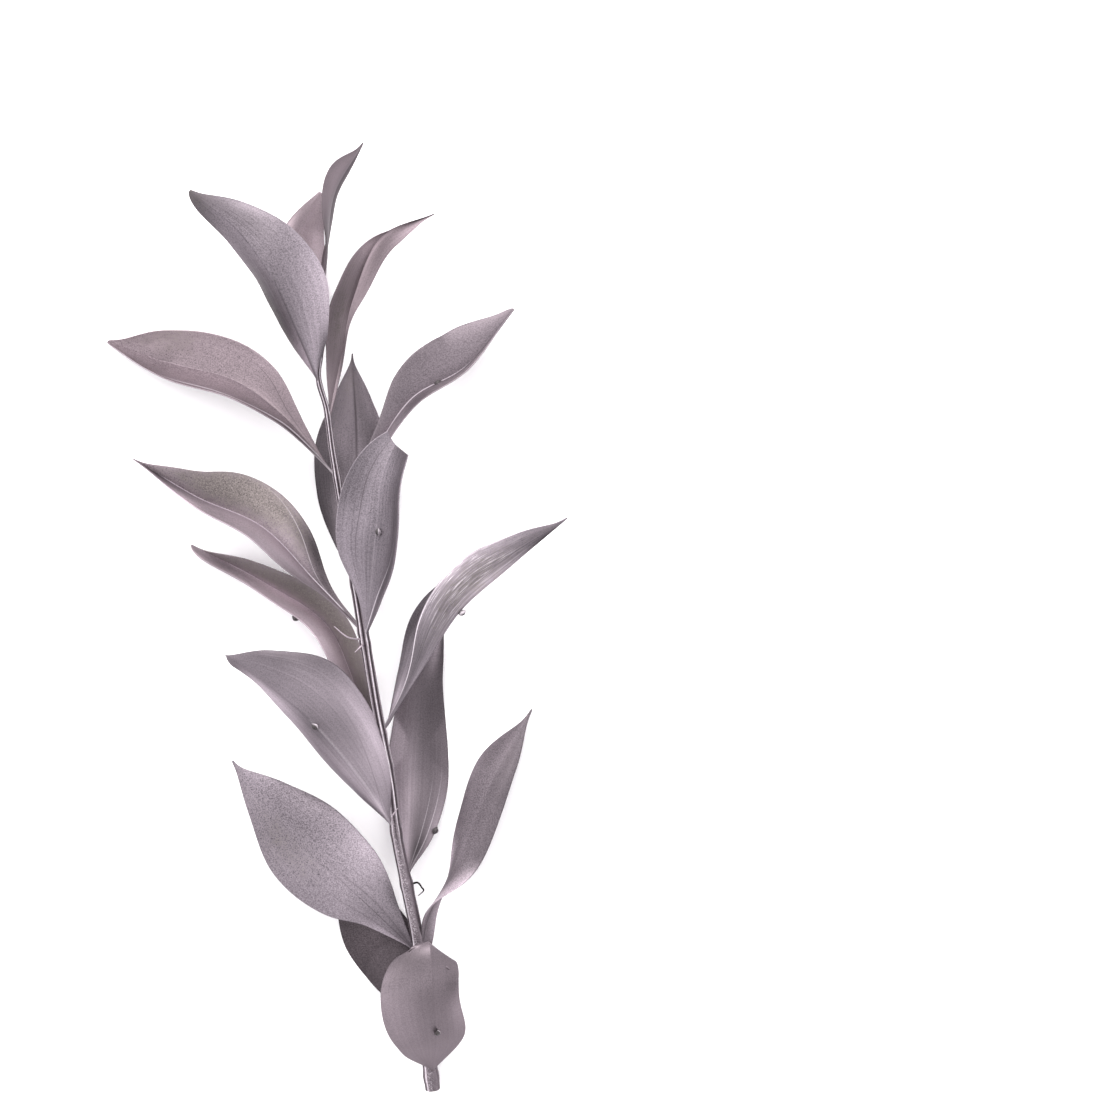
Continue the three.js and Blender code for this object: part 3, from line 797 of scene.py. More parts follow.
def from_node(node, line):
    """The points of a line that starts at a node of the stem, with that start."""
    return np.array([through(STEM_LINE, stem_share(node)), *line], float)


def blade_sheet(blade, seed, t, s):
    """Middle surface of a blade: rows t from foot to tip, columns s from 1 (left margin) to -1.

    Square to the midrib each half leaves it at the angle `fold` and bends down on a circle's arc
    by the angle `curl`, as far as its half width there. The whole is turned about the midrib by
    `roll`, and waved by `crumple`. Returns the points, the share of the length, and each point's
    distance from the midrib and from the margin.
    """
    end_left, end_right = blade.get("end", (1, 1))
    share = t[:, None] * (end_left + (end_right - end_left) * (1 - s[None, :]) / 2)
    rib = from_node(blade["node"], blade["rib"])
    heading = heading_of(rib, share)
    if "side" in blade:
        side = np.array(blade["side"], float)
        left = unit(side - heading * (heading @ side)[..., None])
        up = np.cross(heading, left)
    else:
        left, up = sideways(heading)
    turn = np.radians(through(blade["roll"], share))[..., None]
    across = left * np.cos(turn) + up * np.sin(turn)
    out = np.cross(heading, across)
    rise = np.radians(through(blade["fold"], share))
    curl_left, curl_right = np.radians(blade.get("curl", BLADE_CURL))
    bend = np.where(s > 0, curl_left, curl_right)[None, :]
    far = np.abs(s)[None, :]
    width = np.where(s > 0, half_width(blade["left"], share), half_width(blade["right"], share))
    reach = width * (np.sin(rise) - np.sin(rise - bend * far)) / bend
    height = width * (np.cos(rise - bend * far) - np.cos(rise)) / bend
    height = height + crumple(seed, share, s[None, :])
    points = through(rib, share) + across * (np.sign(s)[None, :] * reach)[..., None]
    points = points + out * height[..., None]
    points[..., 2] = np.maximum(points[..., 2], LEAF_THICK / 2)
    return points, share, far * width, (1 - far) * width


def columns():
    """Places across a blade, from 1 to -1, closer together at the margins and at the midrib."""
    half = np.concatenate([MARGIN_COLUMNS, np.linspace(*EVEN_COLUMNS), MIDRIB_COLUMNS])
    return np.concatenate([half, [0], -half[::-1]])


def grid_normals(points):
    """Directions square to a grid of points, from the steps to its neighbours."""
    return unit(np.cross(np.gradient(points, axis=1), np.gradient(points, axis=0)))


def smooth_step(low, high, x):
    """0 below low, 1 above high, and a smooth rise between."""
    u = np.clip((x - low) / (high - low), 0, 1)
    return u * u * (3 - 2 * u)


def patch(look, share, s, along, across, reach_along, reach_across):
    """A bell-shaped patch of height 1, kept to its own half of the blade if the look is split."""
    away = ((share - along) / reach_along) ** 2 + ((s - across) / reach_across) ** 2
    stops = look.get("split", False) and across != 0
    return np.exp(-away) * np.where(stops & ((s > 0) != (across > 0)), 0, 1)


def thin_coat(look, share, s):
    """How thin the coat is, 0 to 1: the highest of the look's patches."""
    thin = np.zeros(np.broadcast(share, s).shape)
    for *place, strength in look.get("thin", []):
        thin = np.maximum(thin, strength * patch(look, share, s, *place))
    return thin


def halves(pair, share, s):
    """The first number of a pair on the left half and the second on the right, or one on both."""
    return np.where(s > 0, *np.broadcast_to(pair, 2)) * np.ones_like(share)


def coat_and_painted_shade(look, share, s):
    """Brightness of the coat, with painted light and shade: each half's own, raised or lowered in
    patches.
    """
    shade = halves(look["shade"], share, s)
    for *place, gain in look.get("tones", []):
        shade = shade * (1 + gain * patch(look, share, s, *place))
    return shade


# A crease that doesn't show: its distance, strength and half width.
NO_CREASE = (9.0, 0.0, 1.0)


def marks_of(*numbers):
    """Three numbers or grids of numbers as one mark at each point."""
    return np.stack(np.broadcast_arrays(*numbers), axis=-1)


def crease(look, number, share, s, width):
    """One of a look's creases: distance from it in mm, its strength and its half width."""
    creases = look.get("lines", [])
    if number >= len(creases):
        return np.broadcast_to(NO_CREASE, (*share.shape, 3))
    places, strengths, half = creases[number]
    away = (s - through(places, share)) * width
    return marks_of(away, through(strengths, share), half)


# What a finish reads where a surface says nothing else.
PLAIN = {
    "coat": (0, 0, 0),
    "grit": (0, 0, 0),
    "edge": (0, 0, 0),
    "crease_a": NO_CREASE,
    "crease_b": NO_CREASE,
}


class Shell:
    """Closed surfaces gathered into one piece, with the marks that its finish reads at each point.

    On a blade `place` is the place across, the share along and the distance from the midrib. On
    the stem it is the share of a turn, the Y value and the height on a rib, and on a bud the
    height on a wrinkle, the share along and how much of the pale scale is there.
    `coat` is how thin the coat is, how warm, and how bright with the painted light and shade. On
    the stem its first number is 1 on the cut end. `grit` is the strength of the grain, that of the
    streaks and a number of the blade's own. `edge` is the strength of the line along the margin,
    that of the line along the midrib, and the distance from the margin; light lines are partly
    painted highlight and dark ones partly painted shade. A crease is the distance from it, its
    strength and its half width.
    """

    def __init__(self):
        self.points, self.faces, self.finish = [], [], []
        self.marks = {key: [] for key in ("place", *PLAIN)}
        self.count = 0

    def add(self, points, faces, marks, finish=0):
        """Add a surface in the piece's finish of that number."""
        self.points.append(points)
        self.faces.extend((np.asarray(part) + self.count).tolist() for part in faces)
        for key, parts in self.marks.items():
            parts.append(np.broadcast_to(marks.get(key, PLAIN.get(key)), points.shape))
        self.finish.extend([finish] * sum(len(part) for part in faces))
        self.count += len(points)

    def pillow(self, top, under, marks):
        """Add two grids of the same size that share their outer rows and columns."""
        rows, cols = top.shape[:2]
        index = np.arange(rows * cols).reshape(rows, cols)
        below = index.copy()
        below[1:-1, 1:-1] = rows * cols + np.arange((rows - 2) * (cols - 2)).reshape(rows - 2, -1)
        points = np.concatenate([top.reshape(-1, 3), under[1:-1, 1:-1].reshape(-1, 3)])
        spread = {
            key: np.concatenate([x.reshape(-1, 3), x[1:-1, 1:-1].reshape(-1, 3)])
            for key, x in ((key, np.broadcast_to(x, top.shape)) for key, x in marks.items())
        }
        self.add(points, [quads(index), quads(below)[:, ::-1]], spread)

    def tube(self, rings, ends, marks, finish=0):
        """Add rings of points, closed round and drawn to a point at each end."""
        rows, sides = rings.shape[:2]
        index = np.arange(rows * sides).reshape(rows, sides)
        around = np.concatenate([index, index[:, :1]], axis=1)
        poles = rows * sides + np.arange(2)
        start = np.stack([np.full(sides, poles[0]), around[0, 1:], around[0, :-1]], axis=1)
        end = np.stack([np.full(sides, poles[1]), around[-1, :-1], around[-1, 1:]], axis=1)
        points = np.concatenate([rings.reshape(-1, 3), np.asarray(ends, float)])
        spread = {
            key: np.concatenate([x.reshape(-1, 3), x[0, :1], x[-1, :1]])
            for key, x in ((key, np.broadcast_to(x, rings.shape)) for key, x in marks.items())
        }
        self.add(points, [quads(around), start, end], spread, finish)

    def piece(self, name, finishes):
        """Make the Blender object, at the origin, in metres, and put it on the root body."""
        mesh = bpy.data.meshes.new(name)
        faces = [face for part in self.faces for face in part]
        mesh.from_pydata(np.concatenate(self.points) * MM, [], faces)
        for key, parts in self.marks.items():
            values = mesh.attributes.new(key, "FLOAT_VECTOR", "POINT")
            values.data.foreach_set("vector", np.concatenate(parts).astype(np.float32).ravel())
        for finish in finishes:
            mesh.materials.append(finish)
        mesh.polygons.foreach_set("material_index", np.array(self.finish, np.int32))
        mesh.polygons.foreach_set("use_smooth", np.ones(len(faces), bool))
        mesh.update()
        piece = bpy.data.objects.new(name, mesh)
        bpy.context.scene.collection.objects.link(piece)
        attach(piece, "root")
        return piece


def quads(index):
    """Faces of a grid of vertex numbers."""
    corners = index[:-1, :-1], index[:-1, 1:], index[1:, 1:], index[1:, :-1]
    return np.stack([c.ravel() for c in corners], axis=1)


def add_bud(shell, blade, seed):
    """The dried bud: rings along a line that lifts off the leaf as the square of the share v.

    The radius is a power of the sine of half a turn over v, drawn in at the bud's point, and
    wrinkled by a cosine of the turn that twists along it. A pale scale covers one side.
    """
    share, face, across = (*blade.get("bud", BLADE_BUD), 0)[:3]
    near = across + np.array([0.02, 0, -0.02])
    spot = blade_sheet(blade, seed, np.array([share, share + 0.01]), near)[0]
    heading = unit(spot[1, 1] - spot[0, 1])
    normal = unit(np.cross(spot[0, 2] - spot[0, 0], spot[1, 1] - spot[0, 1])) * face
    side = np.cross(heading, normal)
    v = np.linspace(*BUD_RINGS)[:, None]
    turn = 2 * np.pi * np.arange(BUD_SIDES) / BUD_SIDES
    wrinkle = np.cos(BUD_WRINKLES * turn + seed + 3 * v)
    swelling = 1 + BUD_WRINKLE_SHARE * wrinkle - BUD_POINT * smooth_step(0.55, 1, v)
    radius = BUD_RADIUS * np.sin(np.pi * v) ** 0.6 * swelling
    middle = spot[0, 1] + normal * BUD_LIFT * BUD_RADIUS
    line = middle + heading * BUD_LENGTH * (v - 0.5) + normal * BUD_BEND * v**2
    rings = line[:, None, :] + side * (radius * np.cos(turn))[..., None]
    rings = rings + normal * (radius * np.sin(turn))[..., None]
    ends = line[0] - heading * BUD_ENDS[0], line[-1] + heading * BUD_ENDS[1]
    scale = smooth_step(*BUD_SCALE_EDGE, face * np.cos(turn))
    shell.tube(rings, ends, {"place": marks_of(wrinkle, v, scale)}, finish=1)


def make_blade(name, seed):
    """A blade with rounded margins and a ridge along its midrib on both faces, and its bud."""
    blade = BLADES[name]
    look = LOOKS[name]
    t = (1 - np.cos(np.linspace(0, np.pi, BLADE_ROWS))) / 2
    s = columns()
    sheet, share, from_rib, from_margin = blade_sheet(blade, seed, t, s)
    steps = np.diff(from_node(blade["node"], blade["rib"]), axis=0)
    length = np.linalg.norm(steps, axis=1).sum()
    edge = np.minimum(from_margin, np.minimum(1 - t, t)[:, None] * length)
    rounding = np.sqrt(1 - (1 - np.minimum(edge / MARGIN_ROUND, 1)) ** 2)
    foot = 1 + FOOT_GAIN * np.exp(-((share / FOOT_SHARE) ** 2))
    half_thick = LEAF_THICK / 2 * foot * rounding
    ridge = np.exp(-((from_rib / RIB_SPREAD) ** 2)) * rounding
    ridge = ridge * (1 - RIDGE_FADE_BY * smooth_step(*RIDGE_FADE, share))
    ridge = ridge * smooth_step(0, RIDGE_START, share)
    normals = grid_normals(sheet)
    top = sheet + normals * (half_thick + RIB_RISE[0] * ridge)[..., None]
    under = sheet - normals * (half_thick + RIB_RISE[1] * ridge)[..., None]
    under[..., 2] = np.maximum(under[..., 2], 0)
    rib, rib_from, rib_to = look["rib"]
    rib = rib * smooth_step(rib_from - RIB_LINE_START, rib_from, share)
    rib = rib * smooth_step(rib_to + RIB_LINE_END, rib_to, share)
    width = from_rib + from_margin
    # The coat's third number is the painted light and shade of the look.
    marks = {
        "place": marks_of(s, share, from_rib),
        "coat": marks_of(thin_coat(look, share, s), look["pink"], coat_and_painted_shade(look, share, s)),
        "grit": marks_of(halves(look["grit"], share, s), look["strands"], seed * OWN_STEP),
        "edge": marks_of(halves(look["rims"], share, s), rib, from_margin),
        "crease_a": crease(look, 0, share, s, width),
        "crease_b": crease(look, 1, share, s, width),
    }
    shell = Shell()
    shell.pillow(top, under, marks)
    add_bud(shell, blade, seed)
    piece = shell.piece("dry_" + name, [blade_finish, bud_finish])
    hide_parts(name)


def add_bract(shell, bract):
    """A thread-like bract: a tapering oval tube along a line from the middle of the stem."""
    path = from_node(bract["node"], bract["line"])
    t = np.linspace(0, 1, BRACT_ROWS)
    left, up = sideways(heading_of(path, t))
    turn = 2 * np.pi * np.arange(BRACT_SIDES) / BRACT_SIDES
    radius = through(BRACT_RADIUS, t)[:, None, None]
    rings = through(path, t)[:, None, :] + radius * (
        left[:, None, :] * np.cos(turn)[None, :, None]
        + BRACT_FLAT * up[:, None, :] * np.sin(turn)[None, :, None]
    )
    ends = path[0], path[-1] + heading_of(path, 1.0) * BRACT_POINT
    shell.tube(rings, ends, {"place": BRACT_MARK, "coat": (0.0, STEM_PINK, bract["shade"])})


def make_stem():
    """The ribbed stem, its cut end flat round a sunken pith, and its bracts.

    The cut end is the first ring of the skin, drawn in towards its centre in steps.
    """
    share = np.linspace(0, 1, STEM_ROWS)
    turn = np.arange(STEM_SIDES) / STEM_SIDES
    skin, crest = stem_surface(share, turn)
    cut, centre = skin[0], through(STEM_LINE, 0.0)
    inward = heading_of(STEM_LINE, 0.0)
    cap = [centre + (cut - centre) * size + inward * depth for size, depth in CUT_RINGS]
    rings = np.concatenate([cap, skin])[::-1]
    height = np.concatenate([np.zeros((len(cap), STEM_SIDES)), crest])[::-1]
    along = np.concatenate([np.zeros(len(cap)), through(STEM_LINE, share)[:, 1]])[::-1]
    on_cut = np.concatenate([np.ones(len(cap)), np.zeros(STEM_ROWS)])[::-1]
    marks = {
        "place": marks_of(turn[None, :], along[:, None], height),
        "coat": marks_of(on_cut, STEM_PINK, 1.0)[:, None, :],
    }
    tip = through(STEM_LINE, 1.0) + heading_of(STEM_LINE, 1.0) * STEM_POINT
    shell = Shell()
    shell.tube(rings, (tip, centre + inward * PITH_SINK), marks)
    for bract in BRACTS:
        add_bract(shell, bract)
    piece = shell.piece("dry_stem", [stem_finish])
    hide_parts("stem")


# Finishes.


class Value:
    """A number or a colour on its way through a graph: arithmetic on it adds Math nodes."""

    def __init__(self, graph, socket):
        self.graph = graph
        self.socket = socket

    def math(self, operation, *others, swap=False, clamp=False):
        terms = [self, *others]
        if swap:
            terms.reverse()
        settings = {"operation": operation, "use_clamp": clamp}
        return self.graph.node("Math", settings, dict(enumerate(terms)))

    def __add__(self, other):
        return self.math("ADD", other)

    def __sub__(self, other):
        return self.math("SUBTRACT", other)

    def __rsub__(self, other):
        return self.math("SUBTRACT", other, swap=True)

    def __mul__(self, other):
        return self.math("MULTIPLY", other)

    def __truediv__(self, other):
        return self.math("DIVIDE", other)

    def __pow__(self, other):
        return self.math("POWER", other)

    __radd__ = __add__
    __rmul__ = __mul__

    def clamp(self):
        return self.math("ADD", 0.0, clamp=True)

    def abs(self):
        return self.math("ABSOLUTE")

    def cos(self):
        return self.math("COSINE")

    def over(self, low, high):
        """0 below low, 1 above high, straight between."""
        return ((self - low) / (high - low)).clamp()

    def line(self, middle, reach):
        """1 at the middle, falling straight to 0 at the reach on either side of it."""
        return (1 - (self - middle).abs() / reach).clamp()


class Graph:
    """The nodes of one material, or of the room."""

    def __init__(self, owner):
        owner.use_nodes = True
        self.tree = owner.node_tree

    def plug(self, socket, value):
        if isinstance(value, Value):
            self.tree.links.new(value.socket, socket)
        elif isinstance(value, tuple):
            socket.default_value = value[: len(socket.default_value)]
        else:
            socket.default_value = value

    def node(self, kind, settings=None, inputs=None, output=0):
        """Add a node with its settings, then the values of its sockets, and give one output."""
        node = self.tree.nodes.new("ShaderNode" + kind)
        for key, value in (settings or {}).items():
            setattr(node, key, value)
        for key, value in (inputs or {}).items():
            self.plug(node.inputs[key], value)
        return Value(self, node.outputs[output])


class Finish(Graph):
    """A material being built on one Principled shader."""

    def __init__(self, name, **settings):
        self.material = bpy.data.materials.new(name)
        super().__init__(self.material)
        self.set(**settings)

    def attribute(self, name):
        """The three numbers that a piece carries under a name."""
        vector = self.node("Attribute", {"attribute_name": name}, output=1)
        return [self.node("SeparateXYZ", None, {0: vector}, output=k) for k in range(3)]

    def own_place(self):
        """The place in the piece's own space, in metres."""
        return self.node("TexCoord", output=3)

    def noise(self, vector, scale, detail, roughness, distortion=0.0):
        """Smooth noise of about 0 to 1 round 0.5."""
        inputs = {"Vector": vector, "Scale": scale, "Detail": detail, "Roughness": roughness}
        inputs["Distortion"] = distortion
        return self.node("TexNoise", None, inputs)

    def speckle(self, place, size, detail, roughness):
        """Noise with features of so many millimetres."""
        return self.noise(place, 1 / (size * MM), detail, roughness)

    def drawn_out(self, x, y, z, detail, roughness, distortion=0.0):
        """Noise over three numbers that stretch it."""
        vector = self.node("CombineXYZ", None, {0: x, 1: y, 2: z})
        return self.noise(vector, 1.0, detail, roughness, distortion)

    def mix(self, factor, a, b):
        """Colour a turned towards colour b."""
        settings = {"data_type": "RGBA", "clamp_factor": True}
        return self.node("Mix", settings, {0: factor, 6: a, 7: b}, output=2)

    def brighten(self, colour, gain):
        """A colour times a number."""
        settings = {"operation": "SCALE"}
        return self.node("VectorMath", settings, {0: colour, "Scale": gain})

    def bump(self, height):
        """Relief of so many millimetres."""
        return self.node("Bump", None, {"Strength": 1.0, "Distance": MM, "Height": height})

    def set(self, **values):
        """Plug values into the shader, and give the material."""
        shader = self.tree.nodes["Principled BSDF"]
        for socket, value in values.items():
            self.plug(shader.inputs[socket.replace("_", " ")], value)
        return self.material


# Colours of the coat at its coolest and its warmest, of its light marks and painted highlights, and
# of its sheen at a low angle. Then those of dark lines, in creases partly painted shade, of bare
# leaf, specks, the painted shade in the stem's grooves, its pith, a bud, the bud's pale scale, and
# the paper.
COAT_COOL = (0.146, 0.128, 0.145, 1)
COAT_WARM = (0.162, 0.126, 0.137, 1)
PALE_MARKS_AND_HIGHLIGHT = (0.58, 0.53, 0.57, 1)
COAT_LIMB = (0.45, 0.42, 0.44, 1)
CREASE_DARK = (0.035, 0.028, 0.032, 1)
LEAF_OLIVE = (0.075, 0.067, 0.059, 1)
SPECK = (0.030, 0.024, 0.026, 1)
STEM_PAINTED_SHADE = (0.030, 0.023, 0.027, 1)
PITH = (0.30, 0.23, 0.16, 1)
BUD_DARK = (0.022, 0.016, 0.018, 1)
BUD_SCALE = (0.38, 0.34, 0.37, 1)
PAPER = (0.98, 0.97, 0.98, 1)
COAT = {"Specular_IOR_Level": 0.25, "Specular_Tint": COAT_LIMB}

# Patterns on a blade. Sizes are in mm: of the coat's grain, its mottling and its clouds, and the
# spacing of its dark specks. A speck's reach is a share of that. Streaks, veins and flakes are
# noise, in waves across and along.
GRAIN = 0.5
MOTTLE = 3.5
CLOUD = 17
SPECKS = 6.5
SPECK_REACH = 0.035
STREAKS = (13, 1.3)
VEINS = (34, 1.6)
FLAKES = (52, 14)
MAIN_VEINS = 27
# Light flakes of painted sheen show where the streaks are stronger than this. They come up and go
# between these shares of the length, and go between these places across.
FLAKY_STRANDS = 2
FLAKES_START = (0.3, 0.5)
FLAKES_END = (0.68, 0.85)
FLAKES_ACROSS = (-0.3, 0.2)
# Reach in mm of the line along the margin and of the line along the midrib.
RIM_REACH = 0.45
RIB_REACH = 0.6
# How much each pattern changes the coat's brightness.
GRAIN_TONE = 1.9
CLOUD_TONE = 0.25
STREAK_TONE = 0.3
VEIN_TONE = 0.22
# The grain's strength at the foot, and the shares of the length between which it becomes full.
FOOT_GRIT = 0.55
GRIT_COMES = (0.1, 0.55)
# Relief in mm.
GRAIN_RISE = 0.018
MOTTLE_RISE = 0.02
STREAK_RISE = 0.03
VEIN_RISE = 0.012
MAIN_VEIN_RISE = 0.01

# Patterns on the stem: waves of its fibres round it and along it, how much the grain and the fibres
# change its brightness, and their relief in mm.
FIBRES = (60, 0.12)
STEM_GRAIN_TONE = 1.6
FIBRE_TONE = 0.8
STEM_GRAIN_RISE = 0.02
FIBRE_RISE = 0.06
# Low down, where the ribs are faint, lines along the stem are painted instead: each is the share
# of a turn where it is, and its reach. One is a painted highlight, one is of painted glints, and
# two are painted shade.
PAINTED_HIGHLIGHT_LINE = (0.36, 0.035)
PAINTED_GLINT_LINE = (0.28, 0.1)
PAINTED_SHADE_LINES = ((0.09, 0.028), (0.43, 0.035))

# Relief in mm of a bud's grain.
BUD_GRAIN_RISE = 0.08


def crease_line(finish, name, broken):
    """Strength of a crease's line, broken up a little by the grain."""
    away, strength, half = finish.attribute(name)
    return (1 - (away / half).abs()).clamp() * strength * broken


def make_blade_finish():
    """Satin metallic coat over a leaf's fine parallel veins, grained, lined, and thin in places.

    Light, shade and highlights are painted into its colour.
    """
    finish = Finish("lavender_coat", **COAT)
    across, along, from_rib = finish.attribute("place")
    thin, pink, shade = finish.attribute("coat")
    grit, strands, own = finish.attribute("grit")
    rim, rib, from_margin = finish.attribute("edge")

    place = finish.own_place()
    grain = finish.speckle(place, GRAIN, 3.0, 0.75)
    mottle = finish.speckle(place, MOTTLE, 3.0, 0.6)
    cloud = finish.speckle(place, CLOUD, 2.0, 0.5)
    streak = finish.drawn_out(across * STREAKS[0], along * STREAKS[1], own, 3.0, 0.65, 0.2)
    vein = finish.drawn_out(across * VEINS[0], along * VEINS[1], own, 1.0, 0.5)
    main_vein = (1 - (across * MAIN_VEINS).cos().abs()) ** 3
    flake = finish.drawn_out(across * FLAKES[0], along * FLAKES[1], own, 1.0, 0.5, 0.3)

    bare = (thin * 1.1 + (grain - 0.5) * 2.6 + (mottle - 0.5) * 0.6 - 0.35).over(0.0, 0.5)
    strand = ((streak - 0.5) * STREAK_TONE + (vein - 0.5) * VEIN_TONE) * strands
    grit = grit * (along.over(*GRIT_COMES) * (1 - FOOT_GRIT) + FOOT_GRIT)
    tone = (grain - 0.5) * grit * GRAIN_TONE + (cloud - 0.5) * CLOUD_TONE + strand
    # shade carries each look's painted light, shade and highlights.
    tone = shade * (1 + tone)
    colour = finish.brighten(finish.mix(pink, COAT_COOL, COAT_WARM), tone)
    colour = finish.mix(bare * 0.75, colour, finish.brighten(LEAF_OLIVE, tone))

    broken = grain * 1.6 + 0.2
    # Light lines along the margin, the midrib and the creases are partly painted highlight; dark
    # ones are partly painted shade.
    lines = (1 - from_margin / RIM_REACH).clamp() * rim
    lines = lines + (1 - from_rib / RIB_REACH).clamp() * rib * broken
    lines = lines + crease_line(finish, "crease_a", broken)
    lines = lines + crease_line(finish, "crease_b", broken)
    # Painted sheen: light flakes along the streaks of blades whose streaks are strong.
    sheen_flakes = along.over(*FLAKES_START) * (1 - along.over(*FLAKES_END))
    sheen_flakes = sheen_flakes * (1 - across.over(*FLAKES_ACROSS)) * (strands - FLAKY_STRANDS).clamp()
    sheen_flakes = sheen_flakes * flake.over(0.54, 0.7) * (grain * 1.2 - 0.1)
    colour = finish.mix((lines + sheen_flakes).clamp(), colour, PALE_MARKS_AND_HIGHLIGHT)
    colour = finish.mix((lines * -1).clamp(), colour, CREASE_DARK)
    cells = finish.node("TexVoronoi", None, {"Vector": place, "Scale": 1 / (SPECKS * MM)})
    colour = finish.mix((1 - cells / SPECK_REACH).clamp() * 0.8, colour, SPECK)

    height = grain * GRAIN_RISE + streak * strands * STREAK_RISE + vein * strands * VEIN_RISE
    height = height + main_vein * MAIN_VEIN_RISE + mottle * MOTTLE_RISE
    return finish.set(
        Base_Color=colour,
        Metallic=0.62 - bare * 0.3,
        Roughness=0.40 + (grain - 0.5) * 0.25 + bare * 0.15 - (streak - 0.5) * 0.12,
        Normal=finish.bump(height),
    )


def make_stem_finish():
    """The same coat on the stem, with bare pith at the cut.

    Highlights are painted on the ribs' crests and in light lines low down, and shade in the grooves
    and in dark lines low down.
    """
    finish = Finish("lavender_stem", **COAT)
    turn, along, crest = finish.attribute("place")
    cut, pink, shade = finish.attribute("coat")

    grain = finish.speckle(finish.own_place(), GRAIN, 3.0, 0.75)
    fibre = finish.drawn_out(turn * FIBRES[0], along * FIBRES[1], 0.0, 3.0, 0.6)
    tone = shade * (1 + (grain - 0.5) * STEM_GRAIN_TONE + (fibre - 0.5) * FIBRE_TONE)
    crest = crest + (fibre - 0.5) * 0.25
    upper = along.over(*RIBS_COME)
    lower = 1 - upper

    # Painted shade in the grooves where the ribs are high; low down the coat fills them.
    filled = crest.over(0.2, 0.45) + lower * 0.9
    colour = finish.mix(filled.clamp(), STEM_PAINTED_SHADE, finish.mix(pink, COAT_COOL, COAT_WARM))
    # Painted highlight low down: a light line and a line of light flecks along one side.
    light = turn.line(*PAINTED_HIGHLIGHT_LINE) * lower * (fibre * 2.4 - 0.2)
    light = light + turn.line(*PAINTED_GLINT_LINE) * lower * grain.over(0.52, 0.66) * 0.7
    # Painted highlight on the crests of the ribs, above the low part.
    light = light + crest.over(0.82, 1.0) * upper * 0.9
    colour = finish.mix(light.clamp(), colour, PALE_MARKS_AND_HIGHLIGHT)
    # Painted shade low down: two dark lines along the stem.
    dark = turn.line(*PAINTED_SHADE_LINES[0]) * lower + turn.line(*PAINTED_SHADE_LINES[1]) * lower
    colour = finish.mix(dark.clamp() * 0.85, colour, STEM_PAINTED_SHADE)
    colour = finish.mix(cut, finish.brighten(colour, tone), PITH)
    return finish.set(
        Base_Color=colour,
        Metallic=0.6 - cut * 0.6,
        Roughness=0.38 + (grain - 0.5) * 0.25 + cut * 0.4,
        Normal=finish.bump(grain * STEM_GRAIN_RISE + fibre * FIBRE_RISE),
    )


def make_bud_finish():
    """Dark papery bud with one pale scale."""
    finish = Finish("dried_bud")
    wrinkle, along, scale = finish.attribute("place")
    grain = finish.speckle(finish.own_place(), GRAIN, 2.0, 0.7)
    coated = ((wrinkle + 1) * 0.12 + grain * 0.3 + scale * 0.6 - along * 0.1).over(0.3, 0.8)
    return finish.set(
        Base_Color=finish.mix(coated, BUD_DARK, BUD_SCALE),
        Metallic=coated * 0.3,
        Roughness=0.6 - coated * 0.15,
        Normal=finish.bump(grain * BUD_GRAIN_RISE),
    )


blade_finish = make_blade_finish()
stem_finish = make_stem_finish()
bud_finish = make_bud_finish()

make_stem()
for number, name in enumerate(BLADES, start=1):
    make_blade(name, number)


# Stage: paper, light and camera.

PAPER_SIZE = 4000
PAPER_DROP = 0.05
PAPER_CORNERS = np.array([(-1, -1), (1, -1), (1, 1), (-1, 1)])
WINDOW = dict(place=(-300, 900, 700), aim=(0, 0, 0), size=500, power=12, colour=(1.0, 0.985, 0.97))
# The room is brighter towards one direction, from the first strength to the second.
ROOM_COLOUR = (1.0, 0.985, 1.0, 1)
ROOM_BRIGHT_SIDE = (-0.25, 1.0, 0.15)
ROOM_SLANT = (-0.7, 0.9)
ROOM_STRENGTH = (1.0, 2.9)
# The camera looks straight down, on a view of so many millimetres.
CAMERA_PLACE = (80.94, 25.46, 1200)
SENSOR = 36.0
VIEW_WIDTH = 418.0


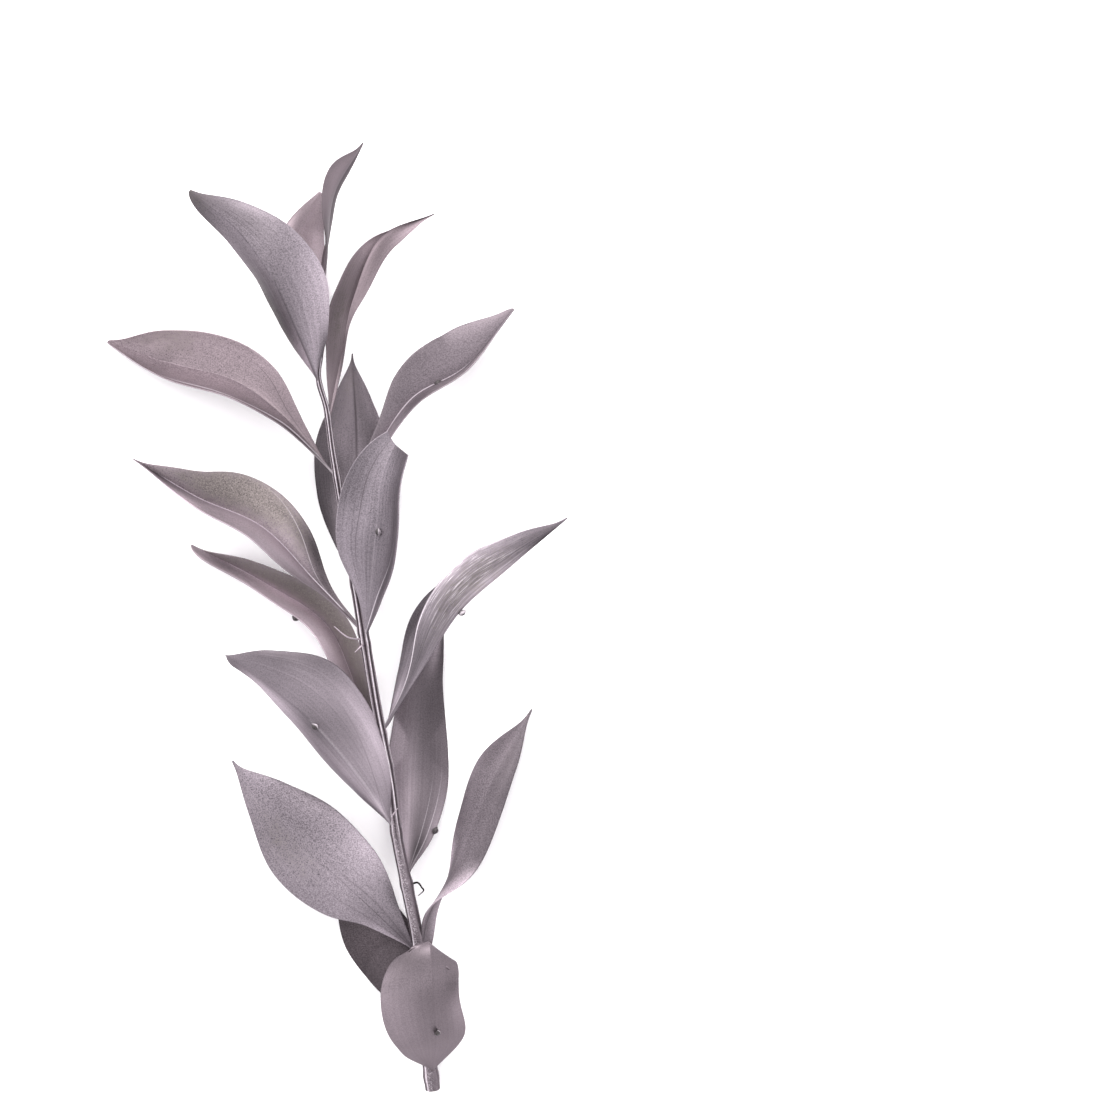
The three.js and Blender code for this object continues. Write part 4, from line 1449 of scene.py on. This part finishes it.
def make_floor():
    """A flat square of pale paper just under the stem."""
    corners = np.column_stack([PAPER_CORNERS * PAPER_SIZE / 2, np.full(4, -PAPER_DROP)])
    mesh = bpy.data.meshes.new("floor")
    mesh.from_pydata(corners * MM, [], [(0, 1, 2, 3)])
    mesh.materials.append(Finish("pale_paper", Base_Color=PAPER, Roughness=0.95).material)
    floor = bpy.data.objects.new("floor", mesh)
    bpy.context.scene.collection.objects.link(floor)


def soft_light(name, place, aim, size, power, colour):
    """A square lamp at a place, turned to face a point."""
    lamp = bpy.data.lights.new(name, "AREA")
    lamp.shape = "SQUARE"
    lamp.size = size * MM
    lamp.energy = power
    lamp.color = colour
    light = bpy.data.objects.new(name, lamp)
    place, aim = np.array(place, float) * MM, np.array(aim, float) * MM
    light.location = place
    light.rotation_euler = Vector(place - aim).to_track_quat("Z", "Y").to_euler()
    bpy.context.scene.collection.objects.link(light)


def make_room():
    """Soft light from all round, dim from the cut end's side and bright from the growing end's."""
    world = bpy.data.worlds.new("room")
    room = Graph(world)
    towards = {0: room.node("TexCoord"), 1: unit(np.array(ROOM_BRIGHT_SIDE))}
    slant = room.node("VectorMath", {"operation": "DOT_PRODUCT"}, towards, output=1)
    names = ("Value", "From Min", "From Max", "To Min", "To Max")
    rise = dict(zip(names, (slant, *ROOM_SLANT, *ROOM_STRENGTH)))
    strength = room.node("MapRange", {"interpolation_type": "SMOOTHERSTEP"}, rise)
    background = room.tree.nodes["Background"]
    room.plug(background.inputs["Strength"], strength)
    room.plug(background.inputs["Color"], ROOM_COLOUR)
    bpy.context.scene.world = world


make_floor()
soft_light("window", **WINDOW)
make_room()
bpy.context.scene.view_settings.view_transform = "Standard"

lens = bpy.data.cameras.new("camera")
lens.sensor_width = SENSOR
lens.lens = SENSOR * CAMERA_PLACE[2] / VIEW_WIDTH
camera = bpy.data.objects.new("camera", lens)
camera.location = np.array(CAMERA_PLACE) * MM
bpy.context.scene.collection.objects.link(camera)
bpy.context.scene.camera = camera
